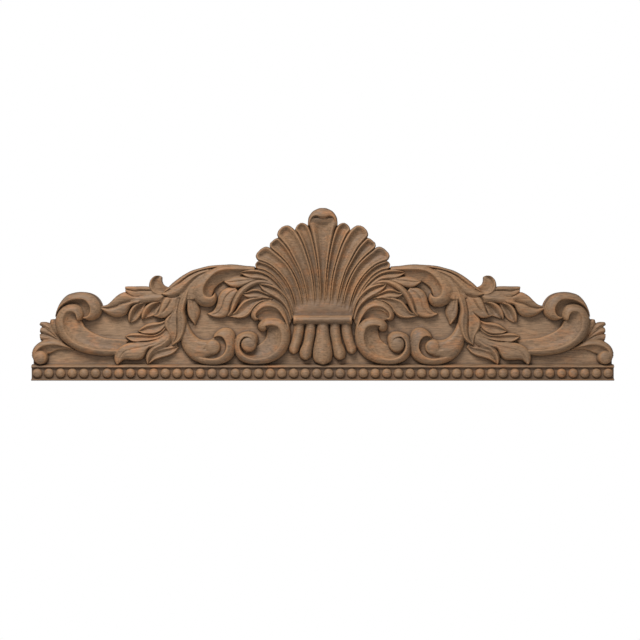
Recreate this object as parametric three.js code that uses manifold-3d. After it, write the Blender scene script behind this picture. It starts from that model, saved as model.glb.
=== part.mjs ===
import * as THREE from "three";
import Module from "manifold-3d";

// Carved wooden headpiece: a flat-backed panel with a fluted shell, C-scrolls and acanthus,
// standing on a beaded moulding. Millimetres, +Z up, the carving faces -Y.
// The origin is on the flat back, on the centre line, at the middle of the panel's height.

// Driving sizes
const WIDTH = 1220;
const BOARD_THICKNESS = 18;
const RELIEF_HEIGHT = 28;
const MOULDING_HEIGHT = 34;
const MOULDING_DEPTH = 35;
const MOULDING_LIP = 4;
const MOULDING_TOP_BAND = 7;
const CHANNEL_DEPTH = 6;
const MOULDING_EASING = 1;
const BAND_CHAMFER = CHANNEL_DEPTH / 3;
const BEAD_DIAMETER = 20;
const BEAD_COUNT = 50;
const LEAF_TIP = 1;

// The free carving is drawn in thousandths of the panel's width, across from the centre line
// and up from the bottom edge, with the moulding's top at MOULDING_LINE.
const UNIT = WIDTH / 1000;
const MOULDING_LINE = 28;
const SHELL_TOP = 296.5;
const PANEL_HEIGHT = MOULDING_HEIGHT + (SHELL_TOP - MOULDING_LINE) * UNIT;
const ORIGIN_HEIGHT = PANEL_HEIGHT / 2;

// Fineness of the facets
const TURN_PER_STEP = THREE.MathUtils.degToRad(36);
const LENGTH_PER_STEP = 80;
const LEAST_LEAF_STEPS = 3;
const CAP_TURNS = [45, 82].map(THREE.MathUtils.degToRad);
const BEAD_SIDES = 6;
const BEAD_RINGS = 1;
const EYE_SIDES = 9;
const EYE_RINGS = 2;
const CAP_STEP = 0.5;

// Cross sections: pairs of [share of the half width, share of the stroke's height]. A foot just
// under the ground lets a flank die into the board.
const FOOT = -0.06;
const ROUND = [[0, 1], [0.62, 0.82], [1, FOOT]];
const ROLL = [[0.45, 1], [1, FOOT]];
const RIDGE = [[0, 1], [1, FOOT]];
const VEINED = [[0, 0.66], [0.42, 1], [1, FOOT]];
const TROUGH = [[0, 0.62], [1, 1]];
const FLUTE = [[0, 0.3], [0.8, 1], [1, 0.3]];

// Each stroke of the carving: its section, which ends are rounded, and its stations along
// the middle line as [across, up, width, share of the relief height].
const stroke = (section, ends, stations) => ({ section, ends, stations });

const END_SCROLL = [
  // hood that curls over the scroll
  stroke(ROLL, "end", [
    [457.5, 118, 1.5, 0.55], [453, 130, 5.5, 0.62], [442, 140.5, 10, 0.72],
    [425, 146.5, 12.5, 0.82], [407, 145, 14.5, 0.9], [393.5, 136, 17, 0.96],
    [388.5, 124, 19, 1], [391, 114.5, 16, 0.98], [398, 109, 9, 0.9],
  ]),
  // rim of the scroll and the trough inside it
  stroke(ROLL, "end", [
    [352, 48.5, 7, 0.5], [380, 48, 8.5, 0.58], [403, 51, 9, 0.66],
    [423, 58.5, 11, 0.72], [442, 74.5, 12.5, 0.78], [451, 97, 14, 0.84],
    [448.5, 117, 15.5, 0.88], [431, 125.5, 14.5, 0.92], [418.5, 119.5, 14.5, 0.92],
    [415.5, 110, 10, 0.85],
  ]),
  stroke(TROUGH, "end", [
    [335, 62, 16, 0.4], [377, 63.5, 23, 0.48], [397, 69, 27, 0.5],
    [413, 78, 31, 0.52], [425, 91, 32, 0.54], [430, 103, 25, 0.52],
    [431, 111, 16, 0.5],
  ]),
  // corner scroll with its own trough
  stroke(RIDGE, "end", [
    [426, 56, 1, 0.3], [442, 62.5, 4.5, 0.4], [456, 66.8, 7.5, 0.46],
    [471, 67.2, 8.8, 0.52], [484, 63.5, 9, 0.58], [493.5, 55, 8.5, 0.62],
    [496.5, 44, 7, 0.64], [496, 35, 6, 0.6],
  ]),
  stroke(TROUGH, "", [
    [424, 52.5, 2, 0.2], [440, 57, 6, 0.26], [457, 58, 9.5, 0.3],
    [470, 54, 13, 0.32], [481, 47, 14, 0.34],
  ]),
  // four small lobes of acanthus at the corner
  stroke(RIDGE, "", [[450, 74, 5, 0.2], [457, 88, 8, 0.32], [464.5, 101.5, 6, 0.4]]),
  stroke(RIDGE, "", [[452, 76, 5, 0.2], [467, 88, 10, 0.36], [481.5, 96.5, 8, 0.44]]),
  stroke(RIDGE, "", [[452, 74, 5, 0.2], [468, 81.5, 9, 0.32], [482, 86, 6, 0.38]]),
  stroke(RIDGE, "", [[454, 72, 5, 0.2], [470, 75.5, 8, 0.28], [484.5, 78, 6, 0.34]]),
];

const BRANCH = [
  // upper branch: its stem, the leaf against the end scroll, the leaf and curl on the crest
  stroke(RIDGE, "", [
    [268, 143, 12, 0.56], [288, 140.5, 10, 0.6], [310, 138.5, 8, 0.62],
    [326, 134, 4, 0.58],
  ]),
  stroke(RIDGE, "", [
    [300, 141, 6, 0.52], [318, 138.5, 14, 0.6], [331, 135, 30, 0.66],
    [345, 130, 39, 0.68], [357, 126.5, 34, 0.64], [369, 121.5, 20, 0.58], [381, 123.5, 0, 0.5],
  ]),
  stroke(VEINED, "", [
    [285, 150, 6, 0.5], [300, 154.5, 14, 0.56], [318, 155.5, 15, 0.6],
    [332, 156.5, 13, 0.62], [340, 157.5, 9, 0.6],
  ]),
  stroke(TROUGH, "end", [
    [272, 148, 18, 0.46], [280, 156.5, 24, 0.54], [286.5, 165, 20, 0.6], [286, 172, 15, 0.62],
  ]),
  // three leaves hanging from the upper branch
  stroke(VEINED, "", [
    [258, 144, 8, 0.6], [263, 133, 16, 0.64], [270, 122, 20, 0.64], [279, 114, 12, 0.6],
    [287, 112.5, 0, 0.52],
  ]),
  stroke(VEINED, "", [
    [280, 135, 6, 0.5], [289, 127.5, 16, 0.55], [299, 119, 18, 0.55], [306, 112, 11, 0.52],
    [311, 106.5, 0, 0.46],
  ]),
  stroke(VEINED, "", [
    [302, 134, 6, 0.5], [313, 126, 16, 0.55], [322, 116, 19, 0.55], [329, 106.5, 12, 0.52],
    [332, 99.5, 0, 0.46],
  ]),
  // the falling stem, its side leaf and the small leaf to its left
  stroke(RIDGE, "", [
    [200, 186, 12, 0.84], [216, 172, 14, 0.88], [228.5, 155, 15, 0.9], [238, 138, 16, 0.92],
    [241.5, 115, 17, 0.92], [242, 92, 16.5, 0.9], [246, 74, 12, 0.84], [258, 61.5, 0, 0.72],
  ]),
  stroke(RIDGE, "", [
    [250, 140, 8, 0.58], [257, 122, 14, 0.64], [262, 107, 19, 0.66], [261, 92, 19, 0.66],
    [257.5, 77, 11, 0.62], [258.5, 63, 0, 0.54],
  ]),
  stroke(VEINED, "", [
    [227, 148, 8, 0.56], [222.5, 131, 15, 0.58], [221.5, 117, 20, 0.6],
    [221, 106, 15, 0.58], [219, 95, 0, 0.5],
  ]),
  // five leaves of the lower branch
  stroke(VEINED, "", [
    [268, 99, 6, 0.44], [280, 93.5, 14, 0.5], [293, 90.5, 18, 0.54], [304, 89, 14.5, 0.54],
    [316, 86, 0, 0.46],
  ]),
  stroke(RIDGE, "", [
    [275, 85, 6, 0.4], [292, 75.5, 10, 0.46], [308, 73, 13, 0.5], [322, 73.5, 14.5, 0.5],
    [330, 75, 11, 0.48], [338, 76.5, 0, 0.42],
  ]),
  stroke(RIDGE, "", [
    [264, 92, 8, 0.5], [279, 76, 12, 0.58], [296, 64, 14, 0.64], [310, 54.5, 24, 0.68],
    [325, 50.5, 27.5, 0.7], [339, 47.5, 23, 0.7], [349.5, 40.5, 14, 0.68], [352.5, 27, 0, 0.56],
  ]),
  stroke(RIDGE, "", [
    [264, 84, 8, 0.5], [268, 71, 14, 0.58], [280, 63, 13, 0.62],
    [292, 54, 12, 0.64], [299, 44, 9, 0.62], [300, 28.5, 0, 0.52],
  ]),
  stroke(RIDGE, "", [
    [249, 59, 2, 0.3], [258, 53.5, 10, 0.38], [270, 49.5, 12, 0.42],
    [283, 45.5, 12, 0.42], [293, 38.5, 8, 0.4], [299.5, 29, 0, 0.34],
  ]),
];

const CREST_SCROLL = [
  // stem along the top of the panel, then the hook it curls into with its trough
  stroke(RIDGE, "", [
    [50, 112, 3, 0.6], [54, 132, 4, 0.65], [66, 156, 5, 0.7], [84, 176, 6, 0.72], [104, 188.5, 7, 0.75],
    [126, 194, 8, 0.78], [150, 195, 8, 0.8],
  ]),
  stroke(ROLL, "", [
    [140, 195, 6, 0.76], [163, 193.5, 9, 0.8], [183, 187.5, 13, 0.85], [199, 176, 18, 0.9],
    [209, 160, 20, 0.94], [209, 145, 21, 0.94], [200, 135, 16, 0.92],
    [190, 136.5, 12, 0.88], [185.5, 146, 4, 0.78],
  ]),
  stroke(TROUGH, "", [
    [134, 187, 6, 0.34], [155, 184.5, 12, 0.4], [175, 178.5, 14, 0.42],
    [190, 167, 15, 0.42], [196, 153, 13, 0.42],
  ]),
  // long leaf that rides down the shoulder, and the raised edge above it
  stroke(RIDGE, "", [
    [196, 189, 5, 0.72], [212, 183, 9, 0.78], [228, 173, 14, 0.82], [241, 162, 19, 0.84],
    [253, 153.5, 21, 0.84], [265, 149, 14, 0.8], [277, 148.5, 0, 0.7],
  ]),
  stroke(RIDGE, "", [
    [178, 195.5, 4, 0.6], [200, 192, 5, 0.6], [222, 185.7, 6, 0.6], [240, 177, 7, 0.58],
    [255, 166.5, 8, 0.55], [270, 154.5, 4, 0.5],
  ]),
];

const FAN = [
  // lobes of acanthus that spread from beside the shell
  stroke(RIDGE, "", [
    [58, 112, 4, 0.56], [68, 131, 6, 0.6], [83, 141.5, 8, 0.64], [103, 139.5, 12, 0.68],
    [122, 131, 18, 0.68], [137, 118, 18, 0.66], [148, 111, 10, 0.62], [161, 111.5, 0, 0.52],
  ]),
  stroke(RIDGE, "", [
    [84, 145, 5, 0.6], [98, 149, 10, 0.62], [112, 149.5, 14, 0.62], [125, 148.5, 12, 0.6],
    [138, 150, 0, 0.52],
  ]),
  stroke(RIDGE, "", [
    [52, 108, 3, 0.6], [57, 126, 6, 0.66], [68, 143, 10, 0.7], [83, 154, 12.5, 0.74],
    [98, 160, 11, 0.74], [110.5, 165.5, 0, 0.66],
  ]),
  stroke(ROLL, "", [
    [66, 146, 4, 0.5], [85, 163, 6, 0.56], [105, 170.5, 8, 0.6], [125, 167, 12, 0.64],
    [140, 156, 15, 0.68],
    [150, 141, 17, 0.7], [157, 125, 15, 0.68], [168, 113, 10, 0.62], [182, 109, 5, 0.55],
    [197, 114.5, 0, 0.46],
  ]),
  stroke(RIDGE, "", [
    [150, 159, 5, 0.5], [162, 150, 16, 0.55], [170, 136, 20, 0.58], [176, 123, 18, 0.56],
    [186, 114, 9, 0.52], [198, 114.5, 0, 0.44],
  ]),
  stroke(VEINED, "", [
    [98, 172, 4, 0.5], [120, 173.5, 7, 0.55], [138, 171.5, 13, 0.58],
    [153, 170.5, 14, 0.58], [168.5, 170, 0, 0.5],
  ]),
  stroke(RIDGE, "", [
    [58, 135, 3, 0.5], [70, 156, 5, 0.58], [88, 172, 8, 0.62], [106, 179.5, 11, 0.66],
    [123, 183, 13, 0.66], [141, 186, 0, 0.58],
  ]),
  // brow that rolls over the inner scroll, and the hollow under it
  stroke(RIDGE, "end", [
    [56, 88, 3, 0.6], [58, 101, 5, 0.66], [64, 115, 7, 0.7], [75, 127, 8, 0.76],
    [90, 133, 9, 0.8], [104, 131.5, 9, 0.82], [115, 124, 10, 0.84], [118.5, 113, 11.5, 0.8],
  ]),
  stroke(TROUGH, "", [
    [66, 104, 4, 0.44], [78, 115, 12, 0.48], [93, 117.5, 14, 0.5], [107, 113.5, 14, 0.5],
    [114, 110, 9, 0.5],
  ]),
];

const C_SCROLLS = [
  // inner C-scroll and its trough
  stroke(ROLL, "start", [
    [104.5, 95, 16, 0.8], [95, 102, 13.5, 0.86], [82, 102, 12.5, 0.88], [70, 95, 13, 0.9],
    [64.3, 83, 13.5, 0.92],
    [63.5, 70, 13, 0.92], [68, 57.5, 12, 0.9], [77, 46, 11.5, 0.88],
    [91, 36.7, 10.8, 0.86], [108, 32.5, 10, 0.84],
    [123, 33, 10, 0.82], [136.5, 39, 10.3, 0.82], [144.5, 49.5, 9.8, 0.84],
    [146.7, 62, 9.3, 0.86], [143, 73, 9, 0.88],
    [134, 79.8, 8.8, 0.88], [123, 79, 9, 0.86], [115.5, 71, 8, 0.82], [115, 62, 5, 0.75],
  ]),
  stroke(TROUGH, "", [
    [88, 91, 12, 0.36], [83, 77, 27, 0.42], [90.5, 59, 27, 0.44], [108, 49, 23, 0.44],
    [124, 44, 14, 0.42], [138, 47, 6, 0.4],
  ]),
  // outer C-scroll and the comma that swells inside it
  stroke(ROLL, "start", [
    [181, 80.5, 8, 0.78], [171, 83.5, 14, 0.84], [160.5, 78, 15, 0.88],
    [157.3, 65, 15, 0.9], [159.5, 52, 14, 0.9],
    [168, 41, 13, 0.88], [181, 34, 11.8, 0.85], [196, 32, 11, 0.8], [211, 37.5, 15, 0.76],
    [225, 47.5, 21, 0.74],
    [235.5, 60, 17, 0.66], [240, 75, 10, 0.56], [240, 90, 3, 0.44],
  ]),
  stroke(ROLL, "start", [
    [188, 58, 24, 0.84], [202, 59, 16, 0.7], [214, 63.5, 18, 0.64], [226, 74, 18, 0.58],
    [232, 88, 13, 0.5], [234, 103, 8, 0.42],
  ]),
];

// Domes: [across, up, radius, share of the relief height]. They rise by EYE_SWELL of their radius.
const EYE_SWELL = 0.6;
const SCROLL_EYES = [[127, 63.5, 12.5, 0.92], [484.5, 39.8, 11.8, 0.7]];

// The shell: each flute bows from its foot past a bend to its lobe.
// [foot across, up], [bend across, up], [lobe across, up], foot width, lobe width, height share
const MIDDLE_FLUTE = [[0, 128], [0, 200], [0, 271], 5, 51, 0.7];
const SIDE_FLUTES = [
  [[6, 130], [16, 205], [35.5, 258.5], 4, 21.5, 0.66],
  [[14, 130], [25, 195], [62.5, 249], 6, 31, 0.66],
  [[21, 130], [38, 185], [80, 230], 5, 18.5, 0.66],
  [[31, 128], [47, 175], [99, 215.5], 7, 26.5, 0.62],
  [[41, 122], [58, 172], [107, 199.5], 4, 11, 0.58],
];
const FLUTE_STATIONS = 4;

// Below the shell: its smooth neck, the astragal band, and the tongues hanging from the band
const NECK = stroke(ROUND, "", [
  [0, 112, 100, 0.86], [0, 122, 97, 0.8], [0, 132, 90, 0.7], [0, 146, 84, 0.5],
]);
const BAND = stroke(ROUND, "", [[-50, 105, 15, 1], [50, 105, 15, 1]]);
const MIDDLE_TONGUE = stroke(ROUND, "end", [
  [0, 98, 20, 0.7], [0, 80, 23, 0.78], [0, 60, 30, 0.9], [0, 46, 33, 0.95],
]);
const SIDE_TONGUES = [
  stroke(ROLL, "end", [
    [21, 98, 17, 0.66], [21.5, 82, 17, 0.72], [24.5, 64, 18.5, 0.8], [28.5, 48, 21, 0.88],
  ]),
  stroke(ROLL, "end", [[40, 98, 17, 0.6], [41.5, 82, 17, 0.66], [45, 67, 17, 0.74], [49, 56, 19, 0.8]]),
];

// Right half of the board's sawn outline, kept just inside the carving's own edges
const BOARD_OUTLINE = [
  [0, 285], [19, 279], [27, 262], [47, 257], [60, 255], [75, 246], [80, 234], [93, 222],
  [104, 213], [108, 198], [125, 192], [172, 193], [210, 187], [238, 174], [262, 157],
  [284, 158], [300, 158], [334, 156], [352, 143], [366, 130], [384, 126], [392, 137],
  [407, 146], [426, 147], [442, 140], [453, 129], [457, 105], [464, 100], [468, 91],
  [478, 93], [477, 84], [483, 78], [484, 64], [495, 54], [498, 44], [496, 20],
];

const wasm = await Module();
wasm.setup();

const plan = ([across, up]) => [
  across * UNIT,
  MOULDING_HEIGHT + (up - MOULDING_LINE) * UNIT - ORIGIN_HEIGHT,
];

const front = (share) => -(BOARD_THICKNESS + share * RELIEF_HEIGHT);

function solidFromTriangles(points, triangles) {
  return new wasm.Manifold(
    new wasm.Mesh({
      numProp: 3,
      vertProperties: new Float32Array(points.flat()),
      triVerts: new Uint32Array(triangles.flat()),
    }),
  );
}

// A closed solid through rings of points, each ring going round the section the same way.
function loft(rings) {
  const size = rings[0].length;
  const triangles = [];
  for (let ring = 0; ring < rings.length - 1; ring++) {
    for (let i = 0; i < size; i++) {
      const here = ring * size + i;
      const next = ring * size + ((i + 1) % size);
      triangles.push([here, next, next + size], [here, next + size, here + size]);
    }
  }
  const last = (rings.length - 1) * size;
  for (let i = 1; i < size - 1; i++) {
    triangles.push([0, i + 1, i], [last, last + i, last + i + 1]);
  }
  return solidFromTriangles(rings.flat(), triangles);
}

function sectionHeight(section, share) {
  const at = THREE.MathUtils.clamp(Math.abs(share), section[0][0], 1);
  const upper = Math.max(1, section.findIndex(([place]) => place >= at));
  const [placeA, heightA] = section[upper - 1];
  const [placeB, heightB] = section[upper];
  return THREE.MathUtils.mapLinear(at, placeA, placeB, heightA, heightB);
}

// Samples along a stroke: evenly spaced, and more of them on a line that turns.
function walk(stations) {
  const route = new THREE.CatmullRomCurve3(
    stations.map(([across, up]) => new THREE.Vector3(across, up, 0)),
  );
  const last = stations.length - 1;
  const tangents = stations.map((_, i) => route.getTangent(i / last));
  const turn = tangents
    .slice(1)
    .reduce((sum, tangent, i) => sum + tangent.angleTo(tangents[i]), 0);
  const needed = turn / TURN_PER_STEP + route.getLength() / LENGTH_PER_STEP;
  const pointed = stations[last][2] === 0;
  const steps = Math.max(pointed ? LEAST_LEAF_STEPS : 1, Math.ceil(needed));
  return Array.from({ length: steps + 1 }, (_, step) => {
    const at = route.getUtoTmapping(step / steps);
    const before = Math.min(Math.floor(at * last), last - 1);
    const between = at * last - before;
    const [width, share] = [2, 3].map((k) =>
      THREE.MathUtils.lerp(stations[before][k], stations[before + 1][k], between),
    );
    return { place: route.getPoint(at), tangent: route.getTangent(at), width, share, beyond: 0 };
  });
}

// Rings of a rounded end: the half circle beyond the last sample.
function roundEnd(sample, direction) {
  return CAP_TURNS.map((turn) => ({
    ...sample,
    place: sample.place
      .clone()
      .addScaledVector(sample.tangent, (direction * Math.sin(turn) * sample.width) / 2),
    width: sample.width * Math.cos(turn),
    beyond: Math.sin(turn),
  }));
}

function strokeSolid({ section, ends, stations }, side) {
  let samples = walk(stations);
  if (ends === "end") samples = [...samples, ...roundEnd(samples.at(-1), 1)];
  if (ends === "start") samples = [...roundEnd(samples[0], -1).reverse(), ...samples];
  const shares = section.map(([place]) => place);
  const mirrored = shares.filter((place) => place > 0).map((place) => -place);
  const across = [...mirrored.reverse(), ...shares];
  const rings = samples.map(({ place, tangent, width, share, beyond }) => {
    const half = Math.max(width * UNIT, LEAF_TIP) / 2 / UNIT;
    const point = (offset, depth) => {
      const [x, z] = plan([
        place.x + tangent.y * offset * half,
        place.y - tangent.x * offset * half,
      ]);
      return [x * side, depth, z];
    };
    const crown = across.map((offset) => {
      const reach = Math.hypot(beyond, offset * Math.cos(Math.asin(beyond)));
      return point(offset, front(share * sectionHeight(section, reach)));
    });
    const ring = [point(-1, 0), ...crown, point(1, 0)];
    return side > 0 ? ring : ring.reverse();
  });
  return loft(rings);
}

// A dome in rings, closed by a small flat CAP_STEP of a ring below its crown.
function domeSolid(centre, radius, base, height, sides, levels) {
  const rings = [];
  for (let level = 0; level <= levels; level++) {
    const turn = (level / (levels + CAP_STEP)) * (Math.PI / 2);
    const ring = [];
    for (let i = 0; i < sides; i++) {
      const angle = ((i + 0.5) / sides) * 2 * Math.PI;
      ring.push([
        centre[0] + radius * Math.cos(turn) * Math.cos(angle),
        base - height * Math.sin(turn),
        centre[1] + radius * Math.cos(turn) * Math.sin(angle),
      ]);
    }
    rings.push(ring);
  }
  rings.unshift(rings[0].map(([x, , z]) => [x, 0, z]));
  return loft(rings);
}

function fluteSolid([foot, bend, lobe, footWidth, lobeWidth, share], side) {
  const line = new THREE.QuadraticBezierCurve(
    new THREE.Vector2(...foot),
    new THREE.Vector2(...bend),
    new THREE.Vector2(...lobe),
  );
  const stations = line.getPoints(FLUTE_STATIONS - 1).map((place, i) => {
    const at = i / (FLUTE_STATIONS - 1);
    return [place.x, place.y, THREE.MathUtils.lerp(footWidth, lobeWidth, at), share];
  });
  return strokeSolid(stroke(FLUTE, "end", stations), side);
}

// A closed solid between two copies of a flat outline. The outline runs anticlockwise when seen
// from the far copy, and place turns a point of it and a distance into a point in space.
function prism(outline, near, far, place) {
  const points = outline.map(([a, b]) => new THREE.Vector2(a, b));
  const triangles = [];
  for (const [a, b, c] of THREE.ShapeUtils.triangulateShape(points, [])) {
    triangles.push([a, c, b], [a + points.length, b + points.length, c + points.length]);
  }
  for (let i = 0; i < points.length; i++) {
    const next = (i + 1) % points.length;
    triangles.push([i, next, next + points.length], [i, next + points.length, i + points.length]);
  }
  const copies = [near, far].flatMap((distance) => outline.map((point) => place(point, distance)));
  return solidFromTriangles(copies, triangles);
}

function boardSolid() {
  const right = BOARD_OUTLINE.map(plan);
  const left = right.slice(1).reverse().map(([x, z]) => [-x, z]);
  return prism([...right, ...left].reverse(), 0, -BOARD_THICKNESS, ([x, z], y) => [x, y, z]);
}

// Beaded moulding: a lip below, a channel for the beads, a rounded band above.
function mouldingSolid() {
  const foot = -ORIGIN_HEIGHT;
  const top = foot + MOULDING_HEIGHT;
  const channel = MOULDING_DEPTH - CHANNEL_DEPTH;
  const section = [
    [0, foot],
    [-(MOULDING_DEPTH - MOULDING_EASING), foot],
    [-MOULDING_DEPTH, foot + MOULDING_EASING],
    [-MOULDING_DEPTH, foot + MOULDING_LIP - MOULDING_EASING],
    [-channel, foot + MOULDING_LIP + MOULDING_EASING],
    [-channel, top - MOULDING_TOP_BAND],
    [-(MOULDING_DEPTH - BAND_CHAMFER), top - MOULDING_TOP_BAND + BAND_CHAMFER],
    [-(MOULDING_DEPTH - 2 * BAND_CHAMFER), top - BAND_CHAMFER],
    [-(BOARD_THICKNESS + BAND_CHAMFER), top],
    [0, top],
  ];
  return prism(section.reverse(), -WIDTH / 2, WIDTH / 2, ([y, z], x) => [x, y, z]);
}

function beadSolids() {
  const pitch = WIDTH / BEAD_COUNT;
  const base = -(MOULDING_DEPTH - CHANNEL_DEPTH);
  const room = MOULDING_HEIGHT - MOULDING_LIP - MOULDING_TOP_BAND;
  const middle = MOULDING_LIP + room / 2 - ORIGIN_HEIGHT;
  const radius = BEAD_DIAMETER / 2;
  const beads = [];
  for (let i = 0; i < BEAD_COUNT; i++) {
    const x = (i + 0.5) * pitch - WIDTH / 2;
    beads.push(domeSolid([x, middle], radius, base, radius, BEAD_SIDES, BEAD_RINGS));
  }
  return beads;
}

function eyeSolids(side) {
  return SCROLL_EYES.map(([across, up, radius, share]) => {
    const [x, z] = plan([across, up]);
    const rise = radius * UNIT * EYE_SWELL;
    return domeSolid([x * side, z], radius * UNIT, front(share) + rise, rise, EYE_SIDES, EYE_RINGS);
  });
}

// Joined two by two, so that the work stays even.
function join(solids) {
  let pool = solids;
  while (pool.length > 1) {
    const next = [];
    for (let i = 0; i < pool.length; i += 2) {
      next.push(i + 1 < pool.length ? pool[i].add(pool[i + 1]) : pool[i]);
    }
    pool = next;
  }
  return pool[0];
}

const both = (make, list) => list.flatMap((item) => [1, -1].map((side) => make(item, side)));

const strokes = [...END_SCROLL, ...BRANCH, ...CREST_SCROLL, ...FAN, ...C_SCROLLS, ...SIDE_TONGUES];
const carved = join([
  boardSolid(),
  mouldingSolid(),
  ...beadSolids(),
  ...both(strokeSolid, strokes),
  ...both(fluteSolid, SIDE_FLUTES),
  fluteSolid(MIDDLE_FLUTE, 1),
  ...[NECK, BAND, MIDDLE_TONGUE].map((item) => strokeSolid(item, 1)),
  ...eyeSolids(1),
  ...eyeSolids(-1),
]);

const mesh = carved.getMesh();
const geometry = new THREE.BufferGeometry();
geometry.setAttribute("position", new THREE.BufferAttribute(mesh.vertProperties, 3));
geometry.setIndex(new THREE.BufferAttribute(mesh.triVerts, 1));
geometry.computeVertexNormals();

const wood = new THREE.MeshStandardMaterial({ color: 0x8c6c50, roughness: 0.7, metalness: 0 });
const headpiece = new THREE.Mesh(geometry, wood);
headpiece.name = "carved_headpiece";

const part = new THREE.Group();
part.add(headpiece);
export default part;
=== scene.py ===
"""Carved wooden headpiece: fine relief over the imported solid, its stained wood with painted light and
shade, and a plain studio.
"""

import math

import bmesh
import bpy
import numpy as np
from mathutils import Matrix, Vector


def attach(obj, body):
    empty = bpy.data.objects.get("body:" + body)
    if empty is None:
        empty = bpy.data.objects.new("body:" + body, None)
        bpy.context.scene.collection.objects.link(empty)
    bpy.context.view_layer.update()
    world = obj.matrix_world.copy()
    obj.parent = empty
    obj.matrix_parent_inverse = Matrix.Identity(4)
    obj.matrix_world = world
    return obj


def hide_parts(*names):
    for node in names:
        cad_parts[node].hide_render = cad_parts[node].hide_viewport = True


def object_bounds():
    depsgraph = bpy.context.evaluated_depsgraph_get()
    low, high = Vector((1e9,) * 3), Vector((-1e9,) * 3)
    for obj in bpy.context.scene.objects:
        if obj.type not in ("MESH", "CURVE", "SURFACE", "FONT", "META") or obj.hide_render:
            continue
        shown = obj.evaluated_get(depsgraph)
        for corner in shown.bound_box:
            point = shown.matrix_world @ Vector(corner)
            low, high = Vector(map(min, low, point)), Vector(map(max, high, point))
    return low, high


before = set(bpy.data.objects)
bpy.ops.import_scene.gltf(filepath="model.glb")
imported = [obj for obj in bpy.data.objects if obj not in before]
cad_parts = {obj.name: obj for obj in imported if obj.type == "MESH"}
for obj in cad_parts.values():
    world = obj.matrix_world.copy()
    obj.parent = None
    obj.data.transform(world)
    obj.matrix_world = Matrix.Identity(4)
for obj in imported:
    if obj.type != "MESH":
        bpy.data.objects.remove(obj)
cad_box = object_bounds()

MM = 0.001
NODE = "carved_headpiece"
PIECE = "headpiece_carving"

# Driving sizes in millimetres. The frame gives the panel's box, the rest is the solid's own section.
LOW, HIGH = ([value / MM for value in corner] for corner in cad_box)
WIDTH = HIGH[0] - LOW[0]
DEPTH = HIGH[1] - LOW[1]
FOOT, TOP = LOW[2], HIGH[2]
BOARD = 18
RELIEF = DEPTH - BOARD
MOULDING_HEIGHT = 34
MOULDING_DEPTH = 35
MOULDING_LIP = 4
MOULDING_TOP_BAND = 7
CHANNEL_DEPTH = 8
BEAD_RADIUS = 10.4
BEAD_COUNT = 50
BEAD_PROUD = 2
BAND_FOOT = MOULDING_HEIGHT - MOULDING_TOP_BAND

# The carving is drawn in thousandths of the panel's width, across from the centre line and up
# from the bottom edge, with the moulding's top at MOULDING_LINE.
UNIT = WIDTH / 1000
MOULDING_LINE = 28

# Fineness of the relief, in millimetres
GRID = 0.9
SPACING = 0.4
MARGIN = 3
WALL_SLOPE = 6
SOFTEN = 0.5
EDGE_ROUND = 1.6
EDGE_DROP = 1.0
TOP_CLEARANCE = 0.01
FACE_CLEARANCE = 0.02
MOST_TRIANGLES = 190000
SHARP_ANGLE = math.radians(60)

# Steps in a cross section and in the rounding of its corners, and steps between two stations of a form
SECTION_STEPS = 160
ROUNDING_STEPS = 13
STATION_STEPS = 16

# Unevenness of hand carving: how far each kind of mark reaches and how much it lifts, in millimetres
TOOL_MARKS = [[2.2, 0.1], [7, 0.18]]

# Painted shade and stain in the depths: how far round itself a place is compared, and how much lower counts
# as full, in millimetres
CREASE_REACH, CREASE_DEPTH = 1.6, 3
HOLLOW_REACH, HOLLOW_DEPTH = 6, 8
# Rise over which the painted light on the flat ground fades out, in millimetres
GROUND_FADE = 2.5

# Painted shade beside what the depths give: on the outline, the moulding's lip and band, and the shell's
# neck, and stain with painted shade in the bead channel
OUTLINE_SHADE, OUTLINE_FADE = 0.3, 2
LIP_EDGE_SHADE = 0.6
BAND_SHADE = 0.35
LIP_SHADE = 0.85
CLEAN_CROWN, CHANNEL_FADE = 2, 6
NECK_SHADE = 0.62

# The part of the neck with painted shade, in the drawing's units
NECK_HALF, NECK_FOOT, NECK_TOP, NECK_FADE = 52, 112, 152, 16

# Cross sections, in hundredths: [place from the first edge to the second, share of the form's height]
ROLL = [[0, 42], [14, 68], [40, 88], [70, 98], [92, 100], [100, 97]]
TROUGH = [[0, 100], [7, 82], [20, 63], [42, 50], [75, 42], [100, 38]]
SLOPED_TROUGH = [[0, 100], [8, 82], [22, 62], [45, 45], [75, 33], [100, 26]]
HOOD_HOLLOW = [[0, 96], [10, 76], [35, 56], [70, 42], [100, 38]]
SWELL = [[0, 50], [12, 76], [30, 93], [50, 100], [70, 93], [88, 76], [100, 50]]
FLAT = [[0, 100], [100, 100]]
HOLLOW_LEAF = [[0, 60], [8, 94], [16, 100], [26, 64], [40, 52], [60, 80], [82, 94], [100, 68]]
SPOON = [[0, 74], [10, 98], [24, 72], [50, 54], [76, 72], [90, 100], [100, 76]]
RIDGE = [[0, 58], [25, 88], [50, 100], [78, 86], [100, 58]]
VEINED = [[0, 64], [12, 86], [36, 95], [44, 76], [52, 93], [80, 100], [93, 92], [100, 64]]
LIP = [[0, 84], [20, 100], [55, 97], [85, 80], [100, 60]]
UPPER_FOLD = [[0, 60], [30, 84], [70, 80], [90, 66], [100, 52]]
LOWER_FOLD = [[0, 52], [7, 86], [30, 100], [60, 97], [85, 82], [100, 55]]
TOP_LEAF = [[0, 68], [22, 90], [40, 84], [48, 56], [58, 84], [100, 82]]
CREST_CURL = [[0, 64], [30, 50], [60, 48], [72, 70], [85, 100], [95, 95], [100, 70]]
HANG_VEIN = [[0, 72], [15, 88], [45, 93], [80, 100], [93, 93], [100, 66]]
HANG_CUP = [[0, 42], [10, 52], [35, 40], [55, 46], [70, 80], [83, 100], [94, 94], [100, 62]]
DROP_STEM = [[0, 52], [14, 88], [35, 100], [60, 86], [85, 78], [100, 56]]
DROP_LEAF = [[0, 56], [10, 84], [30, 80], [60, 72], [85, 92], [100, 74]]
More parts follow.
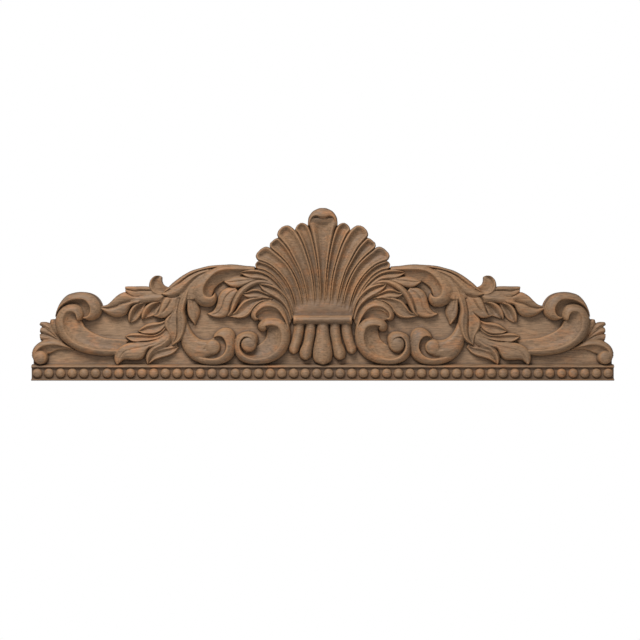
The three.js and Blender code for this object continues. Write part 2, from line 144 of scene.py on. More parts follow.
SMALL_LEAF = [[0, 42], [12, 66], [42, 86], [50, 92], [80, 100], [93, 94], [100, 68]]
SIDE_CUP = [[0, 74], [16, 95], [36, 62], [52, 56], [70, 82], [90, 100], [100, 72]]
SIDE_LONG = [[0, 64], [16, 86], [40, 94], [70, 100], [92, 86], [100, 55]]
SIDE_RIDGE = [[0, 50], [25, 74], [52, 100], [72, 84], [100, 58]]
BROW_HOLLOW = [[0, 100], [6, 78], [16, 66], [26, 72], [31, 56], [50, 48], [100, 40]]
COMMA_EDGE = [[0, 50], [15, 72], [45, 88], [85, 99], [100, 100]]
COMMA = [[0, 55], [15, 82], [40, 94], [80, 95], [95, 100], [100, 97]]
NECK_SLOPE = [[0, 100], [35, 100], [60, 86], [100, 50]]

# The flutes' section runs from the edge, where the rim is, to the hollow in the middle.
FLUTE = [[0, 66], [8, 88], [20, 100], [34, 88], [60, 56], [100, 42]]


def form(section, *stations):
    """A form swept between two edges. Each station gives across and up on the first edge, the same on
    the second edge, and how high the form is there in hundredths of the relief."""
    return {"section": section, "stations": stations, "rimmed": False}


def flute(*stations):
    """A hollow form whose section runs from its edge to its middle, so the rim goes round its end."""
    return {"section": FLUTE, "stations": stations, "rimmed": True}


def both_sides(*stations):
    """Stations from the centre line outwards, with their mirror images before them."""
    return [*([-a, b, -c, d, e] for a, b, c, d, e in reversed(stations[1:])), *stations]


END_SCROLL = [
    # hood that rolls over the scroll, and the floor of the gap under it
    form(ROLL, [460, 106, 459.5, 108, 50], [457, 120, 456, 117.5, 60], [450, 135, 451.5, 125, 68],
         [440, 146, 444, 132, 76], [430, 150.3, 434, 137.5, 84], [415, 152.5, 421, 140, 90],
         [400, 150.5, 409, 138.8, 94], [388.5, 144, 402, 133, 97], [380.5, 132, 397.8, 124.5, 99],
         [379.3, 121, 398, 118, 98], [383, 112, 400, 113.5, 95], [391, 105.8, 403, 110.5, 91],
         [400, 103.8, 407, 108.8, 86], [409, 106.5, 410.5, 108.4, 80]),
    form(HOOD_HOLLOW, [459, 110, 455, 116, 56], [456, 118, 449, 124, 64], [451.5, 125, 442, 129, 70],
         [444, 132, 434, 131.5, 78], [434, 137.5, 427, 132, 86], [421, 140, 420, 131, 90],
         [409, 138.8, 415, 127, 94], [402, 133, 411.5, 121, 96], [397.8, 124.5, 410, 114, 94],
         [398.5, 116.5, 411, 108, 86], [403, 110.5, 413, 105, 70]),
    # roll of the scroll, and the trough that falls from its arris
    form(ROLL, [413, 105.3, 420.5, 104, 78], [409.6, 112, 421.5, 108, 88], [411.5, 121, 423, 113.5, 93],
         [417, 129, 426.5, 117.5, 95], [426, 132, 431, 119, 96], [437, 131, 437, 118.2, 96],
         [447, 126, 441.5, 114, 96], [454.5, 117, 444.5, 107, 95], [459, 104, 445, 97, 94],
         [457.5, 89, 442.5, 86.5, 92], [452, 76, 437, 77.5, 90], [444, 66.5, 429, 69, 87],
         [432, 58, 416, 61.5, 84], [414, 49.5, 400, 56, 80], [395, 45, 383, 53.3, 74],
         [375, 43, 367, 52.5, 66], [350, 44, 350, 52, 50]),
    form(TROUGH, [420.5, 104, 415, 103, 86], [422, 110, 413.5, 100, 92], [425.5, 117, 412, 97, 94],
         [431, 119, 411, 95, 95], [438, 118, 410, 93, 95], [443.5, 110, 408.5, 91.3, 94],
         [445, 98, 406, 89, 94], [442.5, 86.5, 403, 86.5, 92], [437, 77.5, 398, 83.3, 90],
         [429, 69, 391, 79.7, 87], [416, 61.5, 382, 76, 84], [400, 56, 372, 73, 80],
         [383, 53.3, 360, 71.5, 70], [367, 52.5, 347, 70.5, 56], [350, 52, 333, 69, 34]),
    # tail of the scroll, down to the moulding
    form(ROLL, [432, 57, 432, 55.5, 40], [441, 62, 440.5, 58, 48], [450, 68, 450, 60, 54],
         [460, 71, 461, 62, 60], [470, 71.3, 471, 61.3, 64], [480, 69, 479.5, 59.5, 67],
         [490, 63.5, 486, 56, 70], [496.5, 56, 490, 51.5, 72], [499.5, 46, 493, 44, 73],
         [498, 38.5, 494, 38, 68], [496.3, 34, 495.5, 34, 50]),
    form(TROUGH, [432, 55.5, 425, 52, 40], [440.5, 58, 435, 53.3, 48], [450, 60, 446, 54, 54],
         [461, 62, 458, 52.5, 60], [471, 61.3, 465, 49, 64], [479.5, 59.5, 472, 46.5, 67],
         [486, 56, 476, 44, 70], [490, 51.5, 478, 42, 72], [493, 44, 479, 40, 73], [494, 38, 480, 36, 62],
         [493, 34, 482, 33, 40]),
    # corner leaf with its four lobes
    form(RIDGE, [446, 66, 451, 69, 26], [451, 84, 462, 85, 40], [459, 104, 469, 99, 44],
         [463, 106, 467.5, 105, 40]),
    form(RIDGE, [451, 69, 453, 69, 26], [462, 85.5, 466, 82, 42], [470.5, 98, 480, 91.5, 48],
         [478, 100.8, 486.5, 96, 46], [483, 100.8, 485, 100, 42]),
    form(RIDGE, [453, 70, 454, 69, 26], [466, 82.5, 467, 76, 40], [479, 91.3, 479, 80, 44],
         [485, 91, 486, 83, 42]),
    form(RIDGE, [454, 69.5, 457, 68, 24], [467, 76.5, 470, 70, 34], [479, 80.3, 478, 69, 36],
         [487, 80, 485, 69, 36]),
]

BRANCH = [
    # stem of the upper branch, and the leaf against the end scroll in two halves beside its fold
    form(FLAT, [240, 152, 246, 106, 40], [262, 150, 266, 116, 40], [275, 150, 278, 134, 40],
         [300, 152, 306, 136, 38], [325, 150, 330, 130, 36]),
    form(SWELL, [272, 149.5, 273, 142, 50], [280, 150, 279.5, 135.5, 57], [290, 150, 292, 134, 59],
         [305, 148.5, 305, 132.5, 60], [318, 145.5, 317, 132, 60], [330, 139, 328, 129, 56]),
    form(UPPER_FOLD, [312, 144, 311, 139.5, 62], [325, 146, 322, 137.5, 64], [338, 152, 335, 134, 66],
         [346, 150.3, 346, 131.3, 66], [355, 144.5, 356, 126.5, 65], [364, 135.5, 367, 124, 62],
         [371, 130.3, 373, 124.2, 58], [380, 128.5, 380, 125.5, 52]),
    form(LOWER_FOLD, [312, 139.5, 318, 131.5, 64], [322, 137.5, 325.5, 131, 68], [335, 134, 330, 127.5, 70],
         [346, 131.3, 335, 118, 71], [356, 126.5, 342, 112, 70], [367, 124, 355, 109.8, 68],
         [373, 124.2, 367, 113.5, 64], [380, 125.5, 379.5, 122, 56]),
    form(TOP_LEAF, [291, 158, 286, 148, 54], [298, 161.5, 297, 147, 58], [310, 162.3, 310, 146, 60],
         [323, 162, 323, 145, 62], [334, 162, 333, 149.5, 62], [339.5, 161.5, 338.5, 152.5, 60]),
    form(CREST_CURL, [262, 160.5, 278, 146.5, 50], [268, 161.5, 290, 149.5, 54], [274, 165, 296.5, 157, 60],
         [276.6, 170, 298, 164, 64], [277, 174, 295.5, 173, 66], [277, 177.5, 288, 179.8, 66],
         [278.5, 179.5, 281, 180.6, 64]),
    # three leaves hanging from the upper branch
    form(HANG_VEIN, [246, 146, 271.5, 143.5, 62], [249.5, 132, 276.5, 134.5, 66],
         [254.5, 120, 279.3, 126, 68], [261, 113.3, 281.5, 118, 66], [269, 109, 284.5, 113, 62],
         [279, 108, 287.3, 111.4, 56], [288.5, 111.2, 289, 111.6, 50]),
    form(HANG_CUP, [278, 133.5, 282, 135, 50], [279, 127, 294, 133.8, 58], [281.5, 120, 303, 128.5, 60],
         [286, 113, 309, 120.5, 60], [295, 110.5, 311, 112, 56], [305, 107.3, 311, 106.5, 50]),
    form(HANG_CUP, [303, 132.5, 308, 133.6, 50], [307, 126, 321, 131.5, 58], [311, 117, 328, 125.5, 60],
         [314, 110.5, 332.5, 117, 60], [320, 104.3, 334, 108, 56], [328, 100.3, 333, 101.3, 50]),
    # the falling stem, its side leaf and the small leaf to its left
    form(DROP_STEM, [222, 165, 233, 161, 70], [228.5, 153, 240, 150, 78], [231, 142, 245, 140, 84],
         [234.5, 131, 248, 128, 88], [236.3, 119, 250, 115, 88], [234, 108, 249.6, 101, 88],
         [233.5, 98, 249.2, 91, 88], [235.5, 86, 249.6, 81, 86], [239.5, 76, 251.5, 73, 82],
         [246, 68, 255, 66.5, 74], [258, 61.5, 258.4, 62.3, 64]),
    form(DROP_LEAF, [242, 148, 249, 145, 56], [246.5, 137, 252.5, 132, 62], [249, 126, 256, 120, 66],
         [250, 115, 263.5, 112, 68], [249.6, 102, 270.3, 103, 70], [249.3, 92, 270.5, 94, 70],
         [249.7, 81, 265.5, 84, 68], [252, 73, 260, 74.5, 62], [258, 62.3, 258.8, 62.6, 50]),
    form(SMALL_LEAF, [224, 156, 236, 156, 62], [221.5, 148, 234, 147, 62], [219, 140, 233, 138, 60],
         [214, 130, 232.8, 130, 60], [211.3, 120, 232.3, 120, 60], [212.5, 111.5, 230.3, 111, 58],
         [215.5, 105, 226.5, 105, 54], [218.3, 97.2, 220, 97, 48]),
    # five leaves of the lower branch, over a common bed
    form(FLAT, [256, 104, 250, 58, 22], [272, 98, 266, 50, 24], [290, 90, 290, 46, 24],
         [305, 84, 305, 46, 22], [320, 74, 320, 50, 20]),
    form(SIDE_CUP, [271, 103, 268.5, 97, 46], [279, 100, 273, 90.5, 54], [287, 99.5, 280, 84, 58],
         [295, 98.5, 290, 80.3, 60], [303, 96, 300, 80, 60], [310, 91.5, 308, 81, 56],
         [316.3, 85.8, 315.8, 84.8, 50]),
    form(SIDE_CUP, [270, 93, 264, 86, 44], [277, 85, 271, 78.5, 50], [287, 79.5, 281, 72.8, 52],
         [300, 79, 296, 68.8, 54], [311, 80.5, 310, 67.2, 54], [322, 81.3, 322, 66, 53],
         [331, 80, 331, 69.5, 51], [338.5, 76.3, 338, 75.3, 46]),
    form(SIDE_LONG, [262, 93, 255, 87, 50], [271, 80, 263, 72, 56], [284, 71.5, 281, 60, 62],
         [297, 67.5, 299, 54.5, 66], [310, 66, 304.5, 45, 70], [322, 65.5, 312, 37.5, 72],
         [335, 63.5, 325, 36, 73], [346, 58.5, 336, 36.8, 72], [353.5, 51.5, 342, 36, 70],
         [357.3, 42, 347, 32.3, 66], [356.5, 33, 350.3, 28.8, 60], [353, 27.3, 352, 27.2, 54]),
    form(SIDE_RIDGE, [266, 83, 258, 79, 52], [273, 73, 260.5, 67, 60], [284, 65.5, 271, 57.5, 65],
         [294.5, 59, 284, 52, 67], [301.5, 50, 291.5, 44.5, 67], [304.5, 40, 296.5, 36.5, 64],
         [301.5, 28.4, 300, 28.3, 56]),
    form(SIDE_CUP, [250, 60.5, 248, 57, 32], [260, 58.5, 255, 48.5, 42], [271, 57, 265, 43, 46],
         [283, 53.5, 277, 39.8, 47], [292, 47.5, 288, 36, 46], [298.5, 36, 296, 31, 42],
         [300.2, 28.4, 300, 28.2, 36]),
]

CREST_SCROLL = [
    # rolled edge along the top of the panel that curls into a hook, and the trough inside it
    form(ROLL, [117, 196.3, 117, 190.5, 52], [133, 197.5, 133, 190.6, 64], [150, 199.5, 150, 191, 72],
         [165, 199.5, 163, 191, 80], [180, 196.5, 175, 189, 87], [197, 188.5, 185.5, 184, 92],
         [212, 179, 193.5, 176, 95], [223, 167, 200.5, 167.5, 97], [227, 155, 204.6, 157.5, 98],
         [223, 143, 204.5, 150, 98], [214, 132, 200.5, 144.5, 97], [202, 127.5, 195, 142.7, 95],
         [190, 128.5, 190.5, 143.4, 92], [184, 134, 187.4, 146, 88], [182, 142, 186, 148.3, 83],
         [184.5, 149.5, 185.4, 149.7, 78]),
    form(TROUGH, [122, 190.4, 125, 187, 56], [137, 190.8, 137, 182, 66], [152, 191, 149, 176.5, 74],
         [166, 190.6, 162, 173.5, 82], [180, 187, 172.5, 170, 90], [192, 178, 181, 164, 94],
         [201, 166.5, 186.5, 158, 97], [204.8, 156, 188.6, 152, 98], [202.5, 147, 189.5, 148.5, 97],
         [195, 142.7, 190.5, 145, 95]),
    # long leaf that rides down the shoulder, the thin edge above it, and the bed that carries both
    form(FLAT, [196, 191, 190, 176, 66], [214, 186, 206, 158, 70], [230, 178, 218, 142, 70],
         [246, 166, 234, 140, 64], [262, 157, 250, 143, 52]),
    form(SWELL, [190, 192, 194, 188, 72], [205, 188.5, 206, 183.5, 78], [219, 183.5, 215.5, 178, 82],
         [232, 176, 225.5, 168.5, 84], [243, 168.5, 233.5, 158, 85], [253, 161, 242, 148.5, 84],
         [262, 156.5, 251, 144.6, 80], [270, 152.5, 263, 143.6, 74], [277, 149.6, 276.4, 148.6, 64]),
    form(RIDGE, [160, 199.5, 164, 197, 62], [180, 198.6, 183, 193.5, 68], [196, 197, 198, 190.5, 70],
         [210, 193.5, 213, 186.8, 70], [225, 189, 227, 180.4, 68], [240, 181, 238, 172.5, 66],
         [250, 174, 248, 164, 62], [259, 166.8, 257, 158.5, 58], [266, 160, 264, 155, 54],
         [275, 151, 274.5, 150.6, 50]),
]

FAN_LEAVES = [
    # bed, then the lobes of acanthus that spread from beside the shell, from the lowest
    form(FLAT, [48, 118, 56, 118, 32], [56, 142, 66, 138, 36], [72, 168, 86, 168, 38],
         [90, 186, 98, 182, 38], [108, 194, 114, 188, 38]),
    form(FLAT, [50, 114, 60, 88, 30], [58, 140, 80, 120, 32], [78, 166, 100, 132, 32],
         [104, 186, 118, 134, 30], [124, 188, 134, 134, 26], [134, 184, 150, 130, 22]),
    form(SPOON, [86, 141.5, 88, 137.5, 54], [100, 143, 102, 137, 60], [113, 142.5, 112, 131.5, 64],
         [126, 140.7, 118.5, 124.5, 66], [136.5, 136, 123.5, 116.5, 66], [143.5, 128.5, 132, 109.7, 64],
         [150, 119, 146, 107.8, 60], [161, 111.8, 160.5, 111, 52]),
    form(HOLLOW_LEAF, [90, 147, 94, 140, 56], [100, 152.3, 104, 141.3, 62], [110, 157, 115, 142, 65],
         [120, 157.3, 124, 141.3, 64], [130, 152.7, 132, 144, 60], [138.6, 150, 138.4, 149.4, 54]),
    form(HOLLOW_LEAF, [50.5, 108, 55, 104, 56], [53, 124, 60, 119, 62], [58, 138, 67, 130, 68],
         [66, 150, 76, 138, 72], [77, 160, 86, 144, 74], [90, 165.6, 95, 149, 74],
         [101, 166.9, 103.5, 156, 70], [109.5, 166, 109, 165, 62]),
    form(RIDGE, [64, 148, 62.5, 145, 52], [80, 165, 78, 158.5, 58], [95, 172.5, 93, 164.3, 62],
         [110, 174, 108, 166, 64], [124, 170.5, 118.5, 162, 67], [136, 163.5, 128, 156, 70],
         [146, 153, 137, 147.5, 71], [153, 141, 143.5, 138, 70], [157, 130, 149, 127, 67],
         [160, 118.5, 154.5, 117, 62], [164, 111.5, 161, 111.5, 54]),
    form(VEINED, [150, 160, 146, 153, 50], [163, 159, 152, 143, 58], [173, 153, 157, 132.5, 61],
         [178.3, 144.5, 159.5, 123.5, 61], [180.5, 135, 163, 113.5, 60], [184, 125, 172, 109, 58],
         [190, 118, 184, 109, 54], [197.5, 115.2, 197, 114.2, 46]),
    form(VEINED, [112, 174.5, 116, 173, 52], [124, 176, 124, 169.5, 57], [136, 178, 133, 164.5, 61],
         [148, 178.5, 145, 160.3, 62], [159, 175.5, 157, 161.5, 60], [168.8, 170.6, 168.5, 169.4, 52]),
    form(HOLLOW_LEAF, [53, 118, 57, 120, 52], [60, 140, 65, 137, 58], [70, 158, 76, 153, 62],
         [82, 173, 88, 165, 66], [95, 183.5, 100, 172.5, 68], [108, 189, 111, 174.3, 69],
         [121, 190.6, 121, 174.5, 68], [133, 189.5, 131, 178, 65], [141.5, 185.8, 141, 184.8, 58]),
    # brow that rolls over the inner scroll, and the hollow under it
    form(ROLL, [55, 78, 57, 77.5, 52], [56.5, 90, 59.7, 89, 62], [58, 100, 62.7, 99, 70],
         [62, 114, 68, 110, 76], [68, 125, 74.5, 119.5, 82], [78, 133, 82, 125.5, 86],
         [90, 137.5, 91, 127.7, 89], [103, 136, 101.5, 126.5, 91], [113, 130, 108.5, 122, 92],
         [120, 122, 113, 117, 92], [123, 113.5, 114.8, 112, 90], [121, 106.5, 114, 108.5, 87],
         [115, 103.5, 112.3, 106.6, 83], [110.3, 105, 110.8, 106.2, 76]),
    form(BROW_HOLLOW,
         [59.7, 89, 59, 88, 62], [62.7, 99, 62, 97.5, 70], [68, 110, 68, 103, 76],
         [74.5, 119.5, 75, 107.5, 82], [82, 125.5, 83, 109, 86], [91, 127.7, 91, 108, 89],
         [101.5, 126.5, 99, 106, 91], [108.5, 122, 104, 104, 92], [113, 117, 108, 103.5, 92],
         [114.8, 112, 110, 104.5, 90]),
]

C_SCROLLS = [
    # inner C-scroll and its trough
    form(ROLL, [97.3, 87.3, 96.5, 91, 70], [102, 84.8, 97.6, 92.3, 80], [108.3, 86.8, 97.8, 93.2, 87],
         [111, 93.5, 97.2, 94, 90], [107, 101.5, 95.5, 94.5, 92], [98, 107.3, 92.5, 95.3, 93],
         [87, 109, 87.5, 95.8, 94], [74.5, 107, 80, 94.5, 94], [64, 100, 74.5, 91, 95],
         [58, 90, 71.3, 84, 96], [55.8, 76, 70, 74, 96], [57, 63, 71.5, 64, 95], [62, 52.5, 76, 55.5, 94],
         [70, 43, 83, 48, 92], [80, 36, 91, 42.5, 90], [94, 30.2, 101, 39.2, 88],
         [110, 27.8, 112, 37.5, 86], [125, 28.8, 123, 38.3, 86], [138, 33.2, 132, 42, 88],
         [147, 41, 138.5, 48.5, 90], [151.3, 52, 142.2, 57, 92], [151.5, 65, 141.3, 67, 93],
         [147.5, 76, 137.5, 72.7, 93], [140, 81.5, 134, 75.3, 93], [130, 84.2, 128, 75, 93],
         [120, 83, 122, 72, 92], [113, 77, 119.5, 67.5, 90], [111.8, 69, 119.5, 63.5, 87],
         [113.2, 62, 120, 59.5, 80]),
    form(SLOPED_TROUGH, [96.5, 91.5, 95.5, 90.5, 86], [92.5, 95.3, 95, 88.5, 93], [84, 95.4, 95.2, 85, 94],
         [75.5, 92, 95.7, 81.5, 95], [71, 83, 97, 75, 96], [70, 72, 99.5, 70, 96], [73, 60, 104, 65.5, 94],
         [80, 51, 110, 61.5, 92], [91, 42.5, 115, 58, 90], [101, 39.2, 119, 53.5, 88],
         [112, 37.5, 123, 50.5, 86], [123, 38.3, 129, 49.8, 86], [132, 42, 134, 51, 88],
         [138.5, 48.5, 137.5, 54.5, 90], [142.2, 57, 139.5, 60, 92]),
    form(FLAT, [114, 70, 115, 58, 50], [120, 77, 122, 50, 50], [133, 77, 133, 48, 50],
         [141, 70, 140.5, 56, 50]),
    # outer C-scroll, the trough inside it, and the comma that swells from its eye
    form(ROLL, [188, 73.5, 185.5, 74.5, 62], [185.8, 79.5, 182.5, 76, 74], [178, 87, 177, 76.8, 84],
         [168.5, 90.6, 171.5, 74.5, 90], [158.5, 88.5, 167.3, 69, 92], [152, 81, 165.2, 62.5, 93],
         [149.7, 69, 165, 56, 93], [149.6, 57, 167.2, 49.5, 93], [152, 46, 171.5, 44, 91],
         [158.5, 37, 177, 40.4, 88], [169, 30.3, 184, 38, 86], [183, 27.3, 192, 37.2, 83],
         [197, 27.2, 199.5, 38.3, 80], [208, 29.4, 208, 39.5, 74], [218, 33.8, 216, 43, 66],
         [226, 38.8, 224, 47, 60]),
    form(COMMA_EDGE, [184, 44, 187, 47.5, 62],
         [191, 40.3, 196, 47.6, 72], [199, 38.2, 204, 52.8, 78], [208, 34, 212.5, 52.6, 78],
         [216, 33.2, 218, 53.6, 77], [225, 38.2, 223.8, 56.2, 74], [235, 48, 231.5, 64, 68],
         [241.5, 60, 236.7, 74, 61], [243.8, 73, 239.7, 86, 54], [242.8, 90, 241, 96, 45]),
    form(FLAT, [178, 77, 190, 72, 42], [170, 74, 182, 62, 40], [165.5, 62, 180, 54, 40],
         [168, 49, 184, 48, 42], [177, 40.5, 194, 46, 44], [190, 37.5, 205, 48, 46],
         [205, 38, 214, 52, 46]),
    form(FLAT, [184, 70, 184, 42, 40], [204, 69, 206, 38, 44], [218, 74, 222, 42, 44],
         [230, 88, 236, 56, 40]),
    form(COMMA, [190, 71, 190, 46, 78],
         [198, 69, 199, 49, 76], [205, 69.3, 206, 53, 76], [213, 72, 213.5, 52.8, 76],
         [221.5, 79, 223.5, 56.2, 73], [227.5, 88, 232, 64.5, 67], [232, 98, 237, 75, 60],
         [236, 107, 240, 88, 50]),
]

# Domes: [across, up, radius, hundredths of the relief at the crown, share of the radius that it rises]
DOMES = [
    [127, 62.8, 13, 95, 0.5],
    [188.5, 57.6, 12.6, 86, 0.42],
    [484.5, 39.8, 11.2, 86, 0.6],
]

SHELL = [
    # bed of the shell, its middle flute, then five flutes at the side
    form(FLAT, [-52, 118, 52, 118, 24], [-60, 160, 60, 160, 18], [-76, 200, 76, 200, 14],
         [-62, 240, 62, 240, 14], [-40, 264, 40, 264, 14]),
    flute([-3.5, 130, 3.5, 130, 20], [-4.5, 146, 4.5, 146, 38], [-6, 172, 6, 172, 60],
          [-8.3, 198, 8.3, 198, 64], [-12.3, 224, 12.3, 224, 68], [-16.3, 243, 16.3, 243, 70],
          [-20.5, 260, 20.5, 260, 72], [-25.5, 271, 25.5, 271, 72], [-22, 282, 22, 282, 70]),
    flute([3.5, 130, 12.5, 130, 20], [4.5, 147, 14, 149, 38], [6.2, 172, 16, 172, 55],
          [8.6, 196, 20, 192, 60], [12.5, 221, 26, 213.5, 64], [16.7, 241, 33.5, 235, 66],
          [21, 256, 42, 252, 67], [26, 266.5, 47.3, 259, 67], [32, 270.3, 44, 266.5, 65],
          [37, 271, 39, 270.3, 60]),
    flute([12.5, 130, 25.5, 130, 20], [14, 149, 28.5, 150, 39], [16.3, 172, 33, 168, 56],
          [20.3, 192, 39, 187, 61], [26.5, 213, 48.5, 207, 65], [33.8, 234, 60, 227.5, 67],
          [42.5, 251, 69.5, 239, 67], [50, 261, 78, 249, 66], [58, 266.3, 76, 257.5, 65],
          [64.5, 266.5, 70, 264, 60]),
    flute([25.5, 128, 33.5, 127, 20], [28.5, 149, 36.8, 147, 40], [33, 168, 43, 169, 55],
          [39, 187, 51, 186, 60], [48.5, 206, 61, 201, 63], [60.3, 227, 75, 215.5, 65],
          [69.8, 238.5, 84.5, 223.3, 65], [77.5, 244.8, 91, 230, 63], [83, 243, 90.3, 236.5, 58]),
    flute([33.5, 125, 46, 121, 20], [36.8, 146, 50.5, 143, 39], [43, 167, 58, 161.5, 52],
          [50, 183, 67, 176, 56], [60.5, 200, 79, 189.5, 60], [72, 212, 92, 199.3, 61],
          [84.5, 222.5, 104, 204.3, 61], [92, 229, 112, 207, 60], [99, 230, 115, 213.5, 58],
          [106, 226.5, 113, 219.5, 54]),
    flute([46, 118, 50, 117, 20], [50.5, 140, 57.5, 137, 38], [58, 161, 67, 156, 48],
          [67, 175.5, 76, 169, 52], [79, 189, 88, 182, 54], [92, 199, 101, 189.5, 55],
          [104, 204, 113, 192.5, 54], [110, 205.3, 115.5, 196, 52], [113, 204.5, 116, 200, 48]),
    # lip that curls over the top of the middle flute
    form(LIP, *both_sides(
        [0, 278.6, 0, 297, 98], [4, 279, 8.5, 295, 97], [10.5, 282, 17.5, 290, 94],
        [17.5, 279.5, 23.8, 281, 88], [21.5, 272, 25.4, 273, 80], [23.3, 266, 25.6, 266, 72])),
]

# Below the shell: its smooth neck, the half-round band, and the tongues hanging from the band
NECK = [
    form(NECK_SLOPE, *both_sides([0, 110, 0, 148, 31], [25, 110, 26, 144, 31], [52, 110, 52, 130, 30])),
    form(SWELL, [-50, 112.5, -50, 97.5, 92], [50, 112.5, 50, 97.5, 92]),
]

TONGUES = [
    form(SWELL, [-10, 99, 10, 99, 64], [-11, 80, 11, 80, 72], [-14.5, 62, 14.5, 62, 84],
         [-16.5, 46, 16.5, 46, 92], [-13.5, 34, 13.5, 34, 90], [-5, 28.6, 5, 28.6, 78]),
    form(SWELL, [12, 99, 29, 99, 60], [13, 82, 30, 82, 66], [16, 65, 33, 65, 74], [18.5, 50, 39, 50, 84],
         [21, 41, 37.5, 40, 84], [26, 36.8, 32, 36.5, 74]),
    form(SWELL, [31.5, 99, 48, 99, 56], [33, 84, 50, 83, 60], [36, 70, 54, 68, 68], [40, 58, 58, 56, 76],
         [43, 50, 56, 49.5, 76], [47, 46.8, 52, 46.6, 68]),
]

# Grooves cut after the forms are laid: points along the line, then its width and depth in millimetres
GROOVES = [
    # corner leaf
    [[[450, 70], [456, 77], [466, 86], [477, 93]], 2.6, 2.2],
    [[[459, 84], [462, 100]], 2.2, 1.6],
    [[[468, 73], [477, 75.5], [485, 77]], 2.2, 1.6],
    # upper branch and its hanging leaves
    [[[300, 155], [312, 156], [329, 157]], 2.4, 1.6],
    [[[260, 139], [264, 131.5], [268, 125], [273.5, 118]], 3.4, 4.2],
    [[[324, 143.5], [331, 146.5], [338, 151.5]], 2.6, 2.4],
    [[[246, 147.5], [250, 145], [255, 143.2], [261, 142.6], [268, 143.4], [275, 147]], 3.0, 3.0],
    [[[257, 118], [262, 113.2], [268, 109.6]], 2.8, 3.0],
    [[[283.5, 129.5], [288.5, 125.5], [293.5, 120.5], [297, 116]], 8.5, 5.5],
    [[[311.5, 128], [316, 123.5], [320.5, 118.5], [323.5, 112]], 8.5, 5.5],
    [[[270, 143], [274.5, 138], [277.5, 131], [280, 124], [283.5, 116.5]], 3.0, 3.0],
    # lower branch
    [[[273, 94], [279, 88.5], [286, 86]], 2.2, 1.4],
    [[[284, 66], [294, 62.3], [306, 58.5], [320, 55.6], [332, 53.2]], 2.6, 1.8],
    [[[330, 53], [338, 51], [345, 44], [349, 37], [350.5, 32]], 2.6, 2.2],
    [[[285, 49], [292, 43.5], [297, 36.5]], 2.0, 1.2],
    # leaf beside the falling stem
    [[[228.6, 145], [227.6, 134], [225.4, 123], [222, 114.5]], 2.8, 1.8],
    [[[222.8, 145], [221.6, 134], [220.5, 124]], 2.4, 0.9],
    # comma, ground under the hook, long leaf, fan, falling stem and lower branch
    [[[200.6, 59], [201.4, 55.5], [204.5, 53]], 2.8, 1.8],
    [[[170, 175], [177, 168], [182, 159], [183, 150]], 15, 3.5],
    [[[203, 184.5], [215, 178], [225, 169], [233, 158.5], [240.5, 149]], 3.0, 2.2],
    [[[135, 141], [141, 135], [146, 127], [152, 118], [157, 112.5]], 3.6, 3.5],
    [[[234.5, 131], [235.6, 120], [233.6, 110], [232, 103], [226, 99]], 4.2, 5.0],
    [[[297, 57.5], [302.5, 50], [305, 41]], 3.4, 3.4],
    # lines between the feet of the flutes
    [[[3.6, 131], [4.6, 147], [6.1, 172], [8.4, 197]], 2.4, 2.0],
    [[[12.8, 131], [14, 149], [16.2, 172], [20.1, 192]], 2.4, 2.0],
    [[[25.6, 130], [28.5, 149.5], [33, 168], [39, 187]], 2.4, 2.0],
    [[[33.7, 127], [36.8, 146.5], [43, 168], [50.5, 184.5]], 2.4, 2.0],
    [[[46, 120], [50.5, 141.5], [58, 161.5], [67, 176]], 2.4, 2.0],
    # hollows of the wider flutes at their feet
    [[[0, 134], [0, 150], [0, 172]], 5.0, 1.3],
    [[[19.2, 134], [21.2, 149.5], [24.6, 170], [29.6, 190]], 6.0, 1.7],
    [[[40.2, 126], [43.8, 144.5], [50.5, 164], [58.5, 179.5]], 6.0, 1.7],
]

# Right half of the board's sawn outline
BOARD_OUTLINE = [
    [0, 290], [14, 286], [21, 275], [27, 262], [44, 262], [52, 256], [64, 260], [74, 252], [80, 240],
    [90, 228], [104, 220], [110, 208], [110, 196], [125, 192], [172, 195], [210, 189], [238, 176],
    [258, 162], [270, 158], [280, 160], [292, 158], [334, 158], [338, 151], [352, 145], [366, 132],
    [384, 126], [390, 138], [402, 146], [426, 147], [442, 140], [453, 129], [457, 105], [465, 103],
    [469, 98], [478, 99], [484, 97], [483, 90], [485, 84], [485, 78], [484, 68], [494, 58], [498, 46],
    [498, 20],
]


def height_of(up):
    """Height in millimetres of a place in the drawing, in the frame."""
    return FOOT + MOULDING_HEIGHT + (up - MOULDING_LINE) * UNIT


# The relief is a sheet of heights over the flat back, for the right half of the panel. Its rows are
# shifted by part of a step, so that none lies on a straight edge of the panel.
ROW_SHIFT = 0.4
columns = np.arange(0, WIDTH / 2 + MARGIN, GRID)
rows = np.arange(FOOT - MARGIN + ROW_SHIFT * GRID, TOP + MARGIN, GRID)
GRID_X, GRID_Z = np.meshgrid(columns, rows)
EVERYWHERE = (slice(None), slice(None))


def gap(p, q):
    """Distance between two stations, on the edge where it is longer."""
    return max(np.hypot(*(q - p)[:2]), np.hypot(*(q - p)[2:4]), 1e-3)


